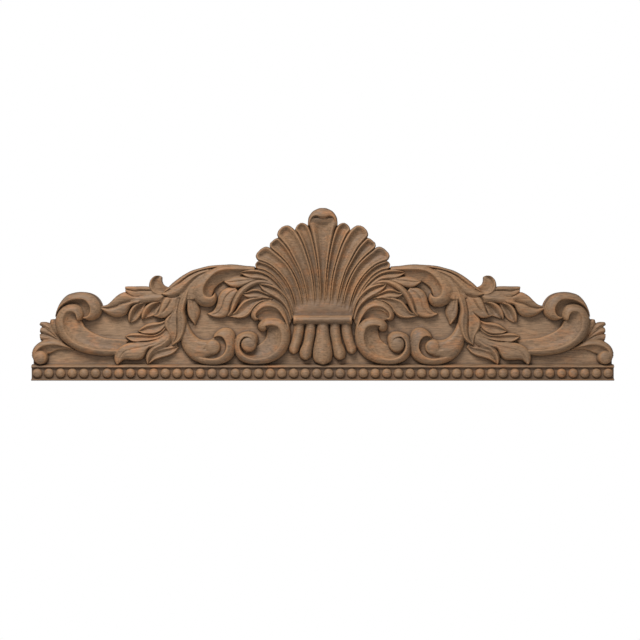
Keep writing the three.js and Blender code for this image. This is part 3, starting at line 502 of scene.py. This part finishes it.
def smooth_run(stations):
    """Even samples on a centripetal Catmull-Rom line through the stations."""
    before, after = 2 * stations[0] - stations[1], 2 * stations[-1] - stations[-2]
    knots = np.vstack([before, stations, after])
    at = np.linspace(0, 1, STATION_STEPS, endpoint=False)[:, None]
    pieces = []
    for a, b, c, d in zip(knots, knots[1:], knots[2:], knots[3:]):
        ab, bc, cd = gap(a, b) ** 0.5, gap(b, c) ** 0.5, gap(c, d) ** 0.5
        leave = ((b - a) / ab - (c - a) / (ab + bc) + (c - b) / bc) * bc
        arrive = ((c - b) / bc - (d - b) / (bc + cd) + (d - c) / cd) * bc
        pieces.append(
            (2 * at**3 - 3 * at**2 + 1) * b
            + (at**3 - 2 * at**2 + at) * leave
            + (3 * at**2 - 2 * at**3) * c
            + (at**3 - at**2) * arrive
        )
    line = np.vstack([*pieces, stations[-1:]])
    steps = [gap(p, q) for p, q in zip(line, line[1:])]
    run = np.concatenate([[0], np.cumsum(steps)])
    even = np.linspace(0, run[-1], max(3, int(run[-1] / SPACING)))
    return np.column_stack([np.interp(even, run, column) for column in line.T])


def edges_of(item):
    """The two edges of a form and its crown, as samples in millimetres."""
    places = np.array(item["stations"], float)
    return smooth_run(np.column_stack([
        places[:, 0] * UNIT, height_of(places[:, 1]), places[:, 2] * UNIT, height_of(places[:, 3]),
        places[:, 4] / 100 * RELIEF,
    ]))


def profile(section, place):
    """Height share of a section, rounded at its corners."""
    fine = np.linspace(0, 1, SECTION_STEPS + 1)
    shares = np.interp(fine, *np.array(section).T / 100)
    kernel = np.hanning(ROUNDING_STEPS)[1:-1]
    kernel /= kernel.sum()
    reach = len(kernel) // 2
    shares = np.convolve(np.pad(shares, reach, mode="reflect", reflect_type="odd"), kernel, "valid")
    return np.interp(place, fine, shares)


def window_of(low, high):
    """The part of the grid between two corners, as a pair of slices."""
    across = np.searchsorted(columns, [low[0], high[0]])
    upward = np.searchsorted(rows, [low[1], high[1]])
    return slice(*upward), slice(*across)


def spread(x, z, values):
    """Mean of scattered values at each place of the grid, zero where none fall."""
    across, upward = (x - columns[0]) / GRID, (z - rows[0]) / GRID
    held = (across >= 0) & (across < len(columns) - 1) & (upward >= 0) & (upward < len(rows) - 1)
    across, upward, values = across[held], upward[held], values[held]
    j, i = across.astype(int), upward.astype(int)
    s, t = across - j, upward - i
    total = np.zeros(GRID_X.size)
    weight = np.zeros(GRID_X.size)
    for right, up, share in (
        (0, 0, (1 - s) * (1 - t)), (1, 0, s * (1 - t)), (0, 1, (1 - s) * t), (1, 1, s * t),
    ):
        index = (i + up) * len(columns) + j + right
        total += np.bincount(index, share * values, GRID_X.size)
        weight += np.bincount(index, share, GRID_X.size)
    mean = np.divide(total, weight, out=np.zeros(GRID_X.size), where=weight > 1e-3)
    return mean.reshape(GRID_X.shape)


def depth_inside(corners, window):
    """Signed distance from the edge of a closed outline, positive inside."""
    x, z = GRID_X[window], GRID_Z[window]
    inside = np.zeros(x.shape, bool)
    away = np.full(x.shape, 1e9)
    for (ax, az), (bx, bz) in zip(corners, np.roll(corners, -1, axis=0)):
        if az != bz:
            crosses = (az > z) != (bz > z)
            inside ^= crosses & (x < (bx - ax) * (z - az) / (bz - az) + ax)
        length = (bx - ax) ** 2 + (bz - az) ** 2
        if length < 1e-9 or (ax == 0 and bx == 0):
            continue
        at = np.clip(((x - ax) * (bx - ax) + (z - az) * (bz - az)) / length, 0, 1)
        away = np.minimum(away, (x - ax - at * (bx - ax)) ** 2 + (z - az - at * (bz - az)) ** 2)
    return np.where(inside, 1, -1) * np.sqrt(away)


def lay(relief, item):
    """Adds a form to the relief."""
    edges = edges_of(item)
    first, second, crown = edges[:, 0:2], edges[:, 2:4], edges[:, 4]
    corners = np.vstack([first[::2], second[::-2]])
    window = window_of(corners.min(axis=0) - MARGIN, corners.max(axis=0) + MARGIN)
    if not GRID_X[window].size:
        return
    widths = np.hypot(*(second - first).T)
    place = np.linspace(0, 1, max(6, int(widths.max() / SPACING)))
    x = first[:, [0]] * (1 - place) + second[:, [0]] * place
    z = first[:, [1]] * (1 - place) + second[:, [1]] * place
    inside = depth_inside(corners, window)
    across = np.ones(len(place)) if item["rimmed"] else profile(item["section"], place)
    crowns = crown[:, None] * across
    level = spread(x.ravel(), z.ravel(), crowns.ravel())[window]
    if item["rimmed"]:
        halves = np.repeat(widths[:, None] / 2, len(place), axis=1)
        half = np.maximum(spread(x.ravel(), z.ravel(), halves.ravel())[window], MARGIN)
        level = level * profile(item["section"], np.clip(inside / half, 0, 1))
    merge(relief, window, BOARD + level - WALL_SLOPE * np.maximum(-inside, 0), inside)


def merge(relief, window, height, inside):
    """Keeps the higher surface and the wider outline."""
    relief["height"][window] = np.maximum(relief["height"][window], height)
    relief["inside"][window] = np.maximum(relief["inside"][window], inside)


def lay_dome(relief, centre, radius, base, rise):
    """Adds a round boss whose foot is at base."""
    reach = radius + MARGIN
    window = window_of(np.subtract(centre, reach), np.add(centre, reach))
    away = np.hypot(GRID_X[window] - centre[0], GRID_Z[window] - centre[1]) / radius
    height = base + rise * np.sqrt(np.clip(1 - away**2, 0, 1))
    height -= WALL_SLOPE * radius * np.maximum(away - 1, 0)
    merge(relief, window, height, (1 - away) * radius)


def cut_groove(relief, points, width, depth):
    """Cuts a groove along a line, deepest in the middle, with about half the depth left at its ends."""
    places = np.array(points, float)
    flat = np.column_stack([places[:, 0] * UNIT, height_of(places[:, 1])])
    line = smooth_run(np.column_stack([flat, flat]))[:, :2]
    window = window_of(line.min(axis=0) - width, line.max(axis=0) + width)
    x, z = GRID_X[window], GRID_Z[window]
    away = (x[..., None] - line[:, 0]) ** 2 + (z[..., None] - line[:, 1]) ** 2
    along = away.argmin(axis=-1) / (len(line) - 1)
    near = np.sqrt(away.min(axis=-1)) / (width / 2)
    fade = np.sin(np.pi * np.clip(0.12 + 0.76 * along, 0, 1)) ** 0.5
    relief["height"][window] -= depth * fade * np.exp(-near**2)


def board(relief):
    """The flat ground, inside its sawn outline."""
    outline = np.array(BOARD_OUTLINE, float)
    corners = np.column_stack([outline[:, 0] * UNIT, height_of(outline[:, 1])])
    corners = np.vstack([corners, [[0, FOOT]]])
    merge(relief, EVERYWHERE, np.full(GRID_X.shape, float(BOARD)), depth_inside(corners, EVERYWHERE))


def moulding(relief):
    """Lip, bead channel and rounded top band, with the beads."""
    face, channel, band = MOULDING_DEPTH, MOULDING_DEPTH - CHANNEL_DEPTH, BAND_FOOT
    # the section from the foot up: [up, depth]
    section = np.array([
        [-MARGIN, face - 1.5], [0, face - 1.5], [1.2, face], [MOULDING_LIP - 1.2, face - 0.3],
        [MOULDING_LIP, channel], [band - 0.4, channel], [band + 0.4, face - 3], [band + 1.4, face - 1.6],
        [band + 3, face - 2.2], [band + 4.6, face - 4.4], [band + 6, face - 8],
        [MOULDING_HEIGHT, BOARD + 4], [MOULDING_HEIGHT + 1, BOARD],
    ])
    heights = np.interp(GRID_Z - FOOT, *section.T)
    inside = np.minimum(np.minimum(WIDTH / 2 - GRID_X, GRID_Z - FOOT), FOOT + MOULDING_HEIGHT - GRID_Z)
    low = GRID_Z - FOOT < MOULDING_HEIGHT + MARGIN
    merge(relief, EVERYWHERE, np.where(low, heights, 0), inside)
    pitch = WIDTH / BEAD_COUNT
    middle = FOOT + (MOULDING_LIP + BAND_FOOT) / 2
    for i in range(BEAD_COUNT // 2):
        lay_dome(relief, ((i + 0.5) * pitch, middle), BEAD_RADIUS, channel, CHANNEL_DEPTH + BEAD_PROUD)


def carve():
    """The whole relief of the right half."""
    relief = {"height": np.zeros(GRID_X.shape), "inside": np.full(GRID_X.shape, -1e3)}
    board(relief)
    moulding(relief)
    for item in [*SHELL, *NECK, *FAN_LEAVES, *CREST_SCROLL, *C_SCROLLS, *BRANCH, *END_SCROLL, *TONGUES]:
        lay(relief, item)
    for across, up, radius, crown, swell in DOMES:
        rise = swell * radius * UNIT
        base = BOARD + crown / 100 * RELIEF - rise
        lay_dome(relief, (across * UNIT, height_of(up)), radius * UNIT, base, rise)
    for groove in GROOVES:
        cut_groove(relief, *groove)
    limit = np.minimum(WIDTH / 2 - GRID_X, TOP - TOP_CLEARANCE - GRID_Z)
    relief["inside"] = np.minimum(relief["inside"], limit)
    relief["height"] = np.maximum(relief["height"], 0)
    return relief


def mirror(field):
    """A field of the right half made whole."""
    return np.hstack([field[:, :0:-1], field])


def blur(field, reach):
    """Gaussian blur with a reach in millimetres."""
    size = max(1, int(3 * reach / GRID))
    kernel = np.exp(-0.5 * (np.arange(-size, size + 1) * GRID / reach) ** 2)
    kernel /= kernel.sum()
    out = field
    for axis in (0, 1):
        pad = [(0, 0), (0, 0)]
        pad[axis] = (size, size)
        wide = np.pad(out, pad, mode="edge")
        length = out.shape[axis]
        out = sum(
            weight * np.take(wide, range(i, i + length), axis=axis) for i, weight in enumerate(kernel)
        )
    return out


def tool_marks(shape):
    """Slight unevenness of hand carving, in millimetres, the same at every run."""
    chance = np.random.default_rng(11)
    marks = np.zeros(shape)
    for reach, amount in TOOL_MARKS:
        field = blur(chance.standard_normal(shape), reach)
        marks += amount * field / field.std()
    return marks


def corner_first(triangles, marked):
    """Rolls each triangle so that its marked corner comes first."""
    start = marked.argmax(axis=1)
    return np.take_along_axis(triangles, (start[:, None] + np.arange(3)) % 3, axis=1)


def surface(height, inside, x, z):
    """Triangles over the part of the grid that is inside, cut along the outline."""
    place = np.arange(height.size).reshape(height.shape)
    a, b = place[:-1, :-1].ravel(), place[:-1, 1:].ravel()
    c, d = place[1:, 1:].ravel(), place[1:, :-1].ravel()
    triangles = np.vstack([np.column_stack([a, b, c]), np.column_stack([a, c, d])])
    field, level = inside.ravel(), height.ravel()
    solid = field > 0
    count = solid[triangles].sum(axis=1)
    one, two = triangles[count == 1], triangles[count == 2]
    one = corner_first(one, solid[one])
    two = corner_first(two, ~solid[two])

    # places where the outline crosses a side of a triangle, each made once
    keys = np.vstack([one[:, [0, 1]], one[:, [0, 2]], two[:, [1, 0]], two[:, [2, 0]]])
    code, where = np.unique(keys.min(axis=1) * height.size + keys.max(axis=1), return_inverse=True)
    where = where.ravel() + height.size
    low, high = code // height.size, code % height.size
    share = (field[low] / (field[low] - field[high]))[:, None]
    flat = np.column_stack([x.ravel(), z.ravel()])
    cut = flat[low] * (1 - share) + flat[high] * share
    cut_level = np.where(solid[low], level[low], level[high])

    n, m = len(one), len(two)
    one_b, one_c, two_b, two_c = np.split(where, [n, 2 * n, 2 * n + m])
    faces = np.vstack([
        triangles[count == 3],
        np.column_stack([one[:, 0], one_b, one_c]),
        np.column_stack([two[:, 1], two[:, 2], two_b]),
        np.column_stack([two[:, 2], two_c, two_b]),
    ])
    points = np.vstack([
        np.column_stack([flat[:, 0], -level, flat[:, 1]]),
        np.column_stack([cut[:, 0], -cut_level, cut[:, 1]]),
    ])
    used, compact = np.unique(faces, return_inverse=True)
    return points[used], compact.reshape(-1, 3)


def close_behind(points, faces):
    """Adds the side walls down to the flat back."""
    edges = np.vstack([faces[:, [0, 1]], faces[:, [1, 2]], faces[:, [2, 0]]])
    size = len(points)
    forward = edges[:, 0] * size + edges[:, 1]
    backward = edges[:, 1] * size + edges[:, 0]
    rim = edges[~np.isin(forward, backward)]
    on_rim, compact = np.unique(rim, return_inverse=True)
    compact = compact.reshape(-1, 2) + size
    back = points[on_rim].copy()
    back[:, 1] = 0
    walls = np.vstack([
        np.column_stack([rim[:, 1], rim[:, 0], compact[:, 0]]),
        np.column_stack([rim[:, 1], compact[:, 0], compact[:, 1]]),
    ])
    return np.vstack([points, back]), np.vstack([faces, walls])


def mesh_from(name, points, faces):
    """A mesh in metres from points in millimetres and triangles."""
    mesh = bpy.data.meshes.new(name)
    mesh.vertices.add(len(points))
    mesh.vertices.foreach_set("co", (points * MM).astype(np.float32).ravel())
    mesh.loops.add(faces.size)
    mesh.loops.foreach_set("vertex_index", faces.astype(np.int32).ravel())
    mesh.polygons.add(len(faces))
    mesh.polygons.foreach_set("loop_start", np.arange(0, faces.size, 3, dtype=np.int32))
    mesh.update(calc_edges=True)
    mesh.validate()
    return mesh


def fill_back(mesh):
    """Caps the open loop on the back."""
    work = bmesh.new()
    work.from_mesh(mesh)
    open_edges = [edge for edge in work.edges if edge.is_boundary]
    bmesh.ops.triangle_fill(work, use_beauty=False, edges=open_edges)
    bmesh.ops.recalc_face_normals(work, faces=work.faces)
    work.to_mesh(mesh)
    work.free()


def thin_out(piece):
    """Collapses the flattest triangles until the piece is within its limit."""
    count = len(piece.data.polygons)
    if count > MOST_TRIANGLES:
        fewer = piece.modifiers.new("fewer", "DECIMATE")
        fewer.ratio = MOST_TRIANGLES / count
        shown = piece.evaluated_get(bpy.context.evaluated_depsgraph_get())
        mesh = bpy.data.meshes.new_from_object(shown)
        piece.modifiers.clear()
        piece.data = mesh


def drop_specks(mesh):
    """Takes out loose scraps of the thinning: on the closed surface a corner has three faces or more."""
    work = bmesh.new()
    work.from_mesh(mesh)
    specks = [corner for corner in work.verts if len(corner.link_faces) < 3]
    bmesh.ops.delete(work, geom=specks, context="VERTS")
    work.to_mesh(mesh)
    work.free()


def bilinear(field, x, z):
    """Values of a field at places measured from its first corner, in millimetres."""
    across = np.clip(x / GRID, 0, field.shape[1] - 1.001)
    upward = np.clip(z / GRID, 0, field.shape[0] - 1.001)
    i, j = upward.astype(int), across.astype(int)
    s, t = upward - i, across - j
    return (
        field[i, j] * (1 - s) * (1 - t)
        + field[i, j + 1] * (1 - s) * t
        + field[i + 1, j] * s * (1 - t)
        + field[i + 1, j + 1] * s * t
    )


def paint(mesh, name, values):
    """Gives values to the carved face, which looks at the viewer, and none to the side walls and back."""
    vertex = np.empty(len(mesh.loops), np.int32)
    mesh.loops.foreach_get("vertex_index", vertex)
    normal = np.empty(len(mesh.polygons) * 3, np.float32)
    mesh.polygons.foreach_get("normal", normal)
    carved = np.repeat(normal[1::3] < -0.1, 3)
    layer = mesh.attributes.new(name, "FLOAT", "CORNER")
    layer.data.foreach_set("value", np.where(carved, values[vertex], 0).astype(np.float32))


def shaded_edges(inside, z):
    """Painted shade along the sawn outline and on the moulding's lip and band, which also keeps them from
    being rubbed bright.
    """
    crease = OUTLINE_SHADE * (1 - np.clip(inside / OUTLINE_FADE, 0, 1))
    crease = np.where(z < FOOT + MOULDING_LIP + 0.5, LIP_EDGE_SHADE, crease)
    on_band = (z > FOOT + BAND_FOOT - 1) & (z < FOOT + MOULDING_HEIGHT + 2)
    return np.where(on_band, BAND_SHADE, crease)


def held_stain_and_shade(height, x, z):
    """Hollow paint: stain with painted shade in the bead channel, painted shade on the moulding's lip and
    at the foot of the shell's neck.
    """
    in_channel = (z > FOOT + MOULDING_LIP) & (z < FOOT + BAND_FOOT)
    stain = np.where(in_channel, (MOULDING_DEPTH - CLEAN_CROWN - height) / CHANNEL_FADE, 0)
    # painted shade on the lip, whose underside is in shadow
    stain = np.where(z < FOOT + MOULDING_LIP, LIP_SHADE, stain)
    # painted shade at the foot of the neck, below the flutes
    on_neck = (abs(x) < NECK_HALF * UNIT) & (z > height_of(NECK_FOOT))
    faded = np.clip((height_of(NECK_TOP) - z) / (NECK_FADE * UNIT), 0, 1)
    return np.clip(np.where(on_neck, NECK_SHADE * faded, stain), 0, 1)


def paint_light_shade_and_stain(mesh, height, inside, x, z):
    """Paints how far each place lies below what is round it, for stain and painted shade, and where the
    flat ground shows, for painted light.
    """
    spots = np.empty(len(mesh.vertices) * 3, np.float32)
    mesh.vertices.foreach_get("co", spots)
    spots = spots.reshape(-1, 3) / MM
    on_panel = (inside > 0).astype(float)
    for name, reach, depth, extra in (
        ("crease", CREASE_REACH, CREASE_DEPTH, shaded_edges(inside, z)),
        ("hollow", HOLLOW_REACH, HOLLOW_DEPTH, held_stain_and_shade(height, x, z)),
    ):
        around = blur(height * on_panel, reach) / np.maximum(blur(on_panel, reach), 0.02)
        field = np.where(inside > 0, (around - height) / depth, 0) + extra
        paint(mesh, name, bilinear(field, spots[:, 0] - x[0, 0], spots[:, 2] - z[0, 0]))
    # Painted light: the flat ground is painted lighter
    paint(mesh, "ground", np.clip(1 - (-spots[:, 1] - BOARD - 1) / GROUND_FADE, 0, 1))


def make_carving():
    """The whole panel: a sheet of heights with side walls and a flat back, thinned out and painted."""
    relief = carve()
    inside = mirror(relief["inside"])
    height = mirror(blur(relief["height"], SOFTEN))
    height -= EDGE_DROP * (1 - np.clip(inside / EDGE_ROUND, 0, 1)) ** 2
    height += tool_marks(height.shape) * np.clip(inside / MARGIN, 0, 1)
    height = np.clip(height, 0, DEPTH - FACE_CLEARANCE)
    x = np.hstack([-GRID_X[:, :0:-1], GRID_X])
    z = mirror(GRID_Z)
    mesh = mesh_from(PIECE, *close_behind(*surface(height, inside, x, z)))
    fill_back(mesh)
    piece = bpy.data.objects.new(PIECE, mesh)
    bpy.context.scene.collection.objects.link(piece)
    thin_out(piece)
    drop_specks(piece.data)
    paint_light_shade_and_stain(piece.data, height, inside, x, z)
    piece.data.polygons.foreach_set("use_smooth", [True] * len(piece.data.polygons))
    piece.data.set_sharp_from_angle(angle=SHARP_ANGLE)
    piece.data.materials.append(carved_wood())
    return piece


def ramp(tree, source, stops):
    """A colour ramp over a value."""
    made = tree.nodes.new("ShaderNodeValToRGB")
    points = made.color_ramp.elements
    while len(points) < len(stops):
        points.new(0.5)
    for point, (at, color) in zip(points, stops):
        point.position = at
        point.color = (*color, 1)
    tree.links.new(source, made.inputs["Fac"])
    return made.outputs["Color"]


def mix(tree, mode, factor, a, b):
    """Colour b laid over colour a."""
    made = tree.nodes.new("ShaderNodeMix")
    made.data_type = "RGBA"
    made.blend_type = mode
    for socket, value in ((0, factor), (6, a), (7, b)):
        if isinstance(value, bpy.types.NodeSocket):
            tree.links.new(value, made.inputs[socket])
        else:
            made.inputs[socket].default_value = value if socket == 0 else (*value, 1)
    return made.outputs[2]


def remap(tree, source, low, high, to_low, to_high):
    """A value moved from one range to another and held within it."""
    made = tree.nodes.new("ShaderNodeMapRange")
    made.clamp = True
    for key, value in (("From Min", low), ("From Max", high), ("To Min", to_low), ("To Max", to_high)):
        made.inputs[key].default_value = value
    tree.links.new(source, made.inputs["Value"])
    return made.outputs["Result"]


def noise(tree, scale, stretch, detail, roughness):
    """Noise over the object's own space, its scale in waves a metre, stretched along X."""
    place = tree.nodes.new("ShaderNodeTexCoord")
    sized = tree.nodes.new("ShaderNodeMapping")
    sized.inputs["Scale"].default_value = (1 / stretch, 1, 1)
    tree.links.new(place.outputs["Object"], sized.inputs["Vector"])
    made = tree.nodes.new("ShaderNodeTexNoise")
    made.inputs["Scale"].default_value = scale
    made.inputs["Detail"].default_value = detail
    made.inputs["Roughness"].default_value = roughness
    tree.links.new(sized.outputs["Vector"], made.inputs["Vector"])
    return made.outputs["Fac"]


def attribute(tree, name):
    """A value painted on the mesh."""
    made = tree.nodes.new("ShaderNodeAttribute")
    made.attribute_name = name
    return made.outputs["Fac"]


# Colours of the wood in linear light: its brown, the grain that multiplies it, and what is laid over it,
# among it painted light on the ground and stain with painted shade in the depths
BROWN = [(0.32, (0.13, 0.084, 0.053)), (0.5, (0.158, 0.098, 0.057)), (0.68, (0.192, 0.112, 0.06))]
GRAIN = [(0.34, (0.56, 0.54, 0.52)), (0.5, (1, 1, 1)), (0.66, (1.32, 1.29, 1.25))]
WARM = (0.232, 0.11, 0.05)
# Painted light: a lighter brown laid on the flat ground
GROUND_LIGHT = (0.22, 0.14, 0.083)
PORE = (0.075, 0.05, 0.036)
# Stain with painted shade, laid in the hollows
HOLLOW_STAIN_AND_SHADE = (0.074, 0.043, 0.026)
# Painted shade with some stain, laid in the creases and along the outline
CREASE_SHADE_AND_STAIN = (0.04, 0.026, 0.018)
RUBBED = (0.295, 0.155, 0.074)
GRAIN_DEPTH = 0.0005


def wood_color(tree, grain):
    """Brown with warm clouds, grain and pores, painted light on the flat ground, stain with painted shade
    held in the depths and creases, rubbed lighter on the edges.
    """
    color = ramp(tree, noise(tree, 16, 1.6, 5, 0.55), BROWN)
    warm = remap(tree, noise(tree, 42, 2.0, 5, 0.68), 0.5, 0.66, 0, 0.8)
    color = mix(tree, "MIX", warm, color, WARM)
    # Painted light lifts the flat ground
    ground = remap(tree, attribute(tree, "ground"), 0, 1, 0, 0.5)
    color = mix(tree, "MIX", ground, color, GROUND_LIGHT)
    color = mix(tree, "MULTIPLY", 0.8, color, ramp(tree, grain, GRAIN))
    pores = remap(tree, noise(tree, 300, 1.6, 3, 0.6), 0.6, 0.74, 0, 0.5)
    color = mix(tree, "MIX", pores, color, PORE)
    # Stain with painted shade, deepest in the hollows
    stained = remap(tree, attribute(tree, "hollow"), 0.12, 0.9, 0, 0.62)
    color = mix(tree, "MIX", stained, color, HOLLOW_STAIN_AND_SHADE)
    # Painted shade with stain darkens the creases; the crests are rubbed lighter
    crease = attribute(tree, "crease")
    color = mix(tree, "MIX", remap(tree, crease, 0.1, 1.3, 0, 0.68), color, CREASE_SHADE_AND_STAIN)
    return mix(tree, "MIX", remap(tree, crease, -0.07, -0.5, 0, 0.55), color, RUBBED)


def carved_wood():
    """Brown stained wood with a low sheen."""
    material = bpy.data.materials.new("stained_carved_wood")
    material.use_nodes = True
    tree = material.node_tree
    shader = tree.nodes["Principled BSDF"]
    grain = noise(tree, 380, 8, 4, 0.65)
    tree.links.new(wood_color(tree, grain), shader.inputs["Base Color"])
    tree.links.new(remap(tree, grain, 0.3, 0.7, 0.46, 0.66), shader.inputs["Roughness"])
    bump = tree.nodes.new("ShaderNodeBump")
    bump.inputs["Strength"].default_value = 0.35
    bump.inputs["Distance"].default_value = GRAIN_DEPTH
    tree.links.new(grain, bump.inputs["Height"])
    tree.links.new(bump.outputs["Normal"], shader.inputs["Normal"])
    shader.inputs["Specular IOR Level"].default_value = 0.18
    return material


def pale_floor():
    """Matt off-white."""
    material = bpy.data.materials.new("pale_floor")
    material.use_nodes = True
    shader = material.node_tree.nodes["Principled BSDF"]
    shader.inputs["Base Color"].default_value = (0.82, 0.82, 0.81, 1)
    shader.inputs["Roughness"].default_value = 0.9
    return material


# Camera: straight on, with the panel where the photograph has it, in pixels of a square frame
FRAME_PIXELS = 640
PANEL_LEFT, PANEL_RIGHT, PANEL_BOTTOM = 31.0, 614.4, 380.7
LENS, SENSOR = 100, 36

# Studio, in metres and watts
FLOOR_REACH, FLOOR_LEVEL = 1.5, -1.15
KEY = {"place": (-0.75, -1.8, 1.9), "size": (1.5, 1.0), "power": 118}
FILL = {"place": (0.4, -2.8, 0.5), "size": (1.6, 1.2), "power": 16}
ROOM_LIGHT = 0.43


def make_camera():
    """Looks along +Y at the carved face."""
    scale = WIDTH / (PANEL_RIGHT - PANEL_LEFT)
    data = bpy.data.cameras.new("camera")
    data.lens = LENS
    data.sensor_width = SENSOR
    camera = bpy.data.objects.new("camera", data)
    away = FRAME_PIXELS * scale * LENS / SENSOR + MOULDING_DEPTH
    right = (FRAME_PIXELS / 2 - (PANEL_LEFT + PANEL_RIGHT) / 2) * scale
    up = FOOT + (PANEL_BOTTOM - FRAME_PIXELS / 2) * scale
    camera.location = (right * MM, -away * MM, up * MM)
    camera.rotation_euler = (math.radians(90), 0, 0)
    bpy.context.scene.collection.objects.link(camera)
    bpy.context.scene.camera = camera


def make_light(name, place, size, power):
    """A soft lamp that faces the panel."""
    data = bpy.data.lights.new(name, "AREA")
    data.shape = "RECTANGLE"
    data.size, data.size_y = size
    data.energy = power
    lamp = bpy.data.objects.new(name, data)
    lamp.location = place
    lamp.rotation_euler = (-Vector(place)).to_track_quat("-Z", "Y").to_euler()
    bpy.context.scene.collection.objects.link(lamp)


def make_world():
    """White to the camera, and a softer white for the light it gives."""
    world = bpy.data.worlds.new("white_room")
    world.use_nodes = True
    tree = world.node_tree
    seen = tree.nodes["Background"]
    seen.inputs["Strength"].default_value = 1.0
    seen.inputs["Color"].default_value = (1, 1, 1, 1)
    given = tree.nodes.new("ShaderNodeBackground")
    given.inputs["Color"].default_value = (1, 1, 1, 1)
    given.inputs["Strength"].default_value = ROOM_LIGHT
    path = tree.nodes.new("ShaderNodeLightPath")
    choice = tree.nodes.new("ShaderNodeMixShader")
    tree.links.new(path.outputs["Is Camera Ray"], choice.inputs[0])
    tree.links.new(given.outputs[0], choice.inputs[1])
    tree.links.new(seen.outputs[0], choice.inputs[2])
    tree.links.new(choice.outputs[0], tree.nodes["World Output"].inputs["Surface"])
    bpy.context.scene.world = world


def make_floor():
    """A square of floor below the panel."""
    mesh = bpy.data.meshes.new("floor")
    near, far, level = -FLOOR_REACH, FLOOR_REACH, FLOOR_LEVEL
    corners = [(near, near, level), (far, near, level), (far, far, level), (near, far, level)]
    mesh.from_pydata(corners, [], [(0, 1, 2, 3)])
    mesh.materials.append(pale_floor())
    floor = bpy.data.objects.new("floor", mesh)
    bpy.context.scene.collection.objects.link(floor)


def main():
    """The panel on its own in a white studio."""
    bpy.context.scene.view_settings.view_transform = "Standard"
    make_camera()
    carving = make_carving()
    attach(carving, "root")
    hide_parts(NODE)
    make_floor()
    make_world()
    make_light("key", **KEY)
    make_light("fill", **FILL)


main()
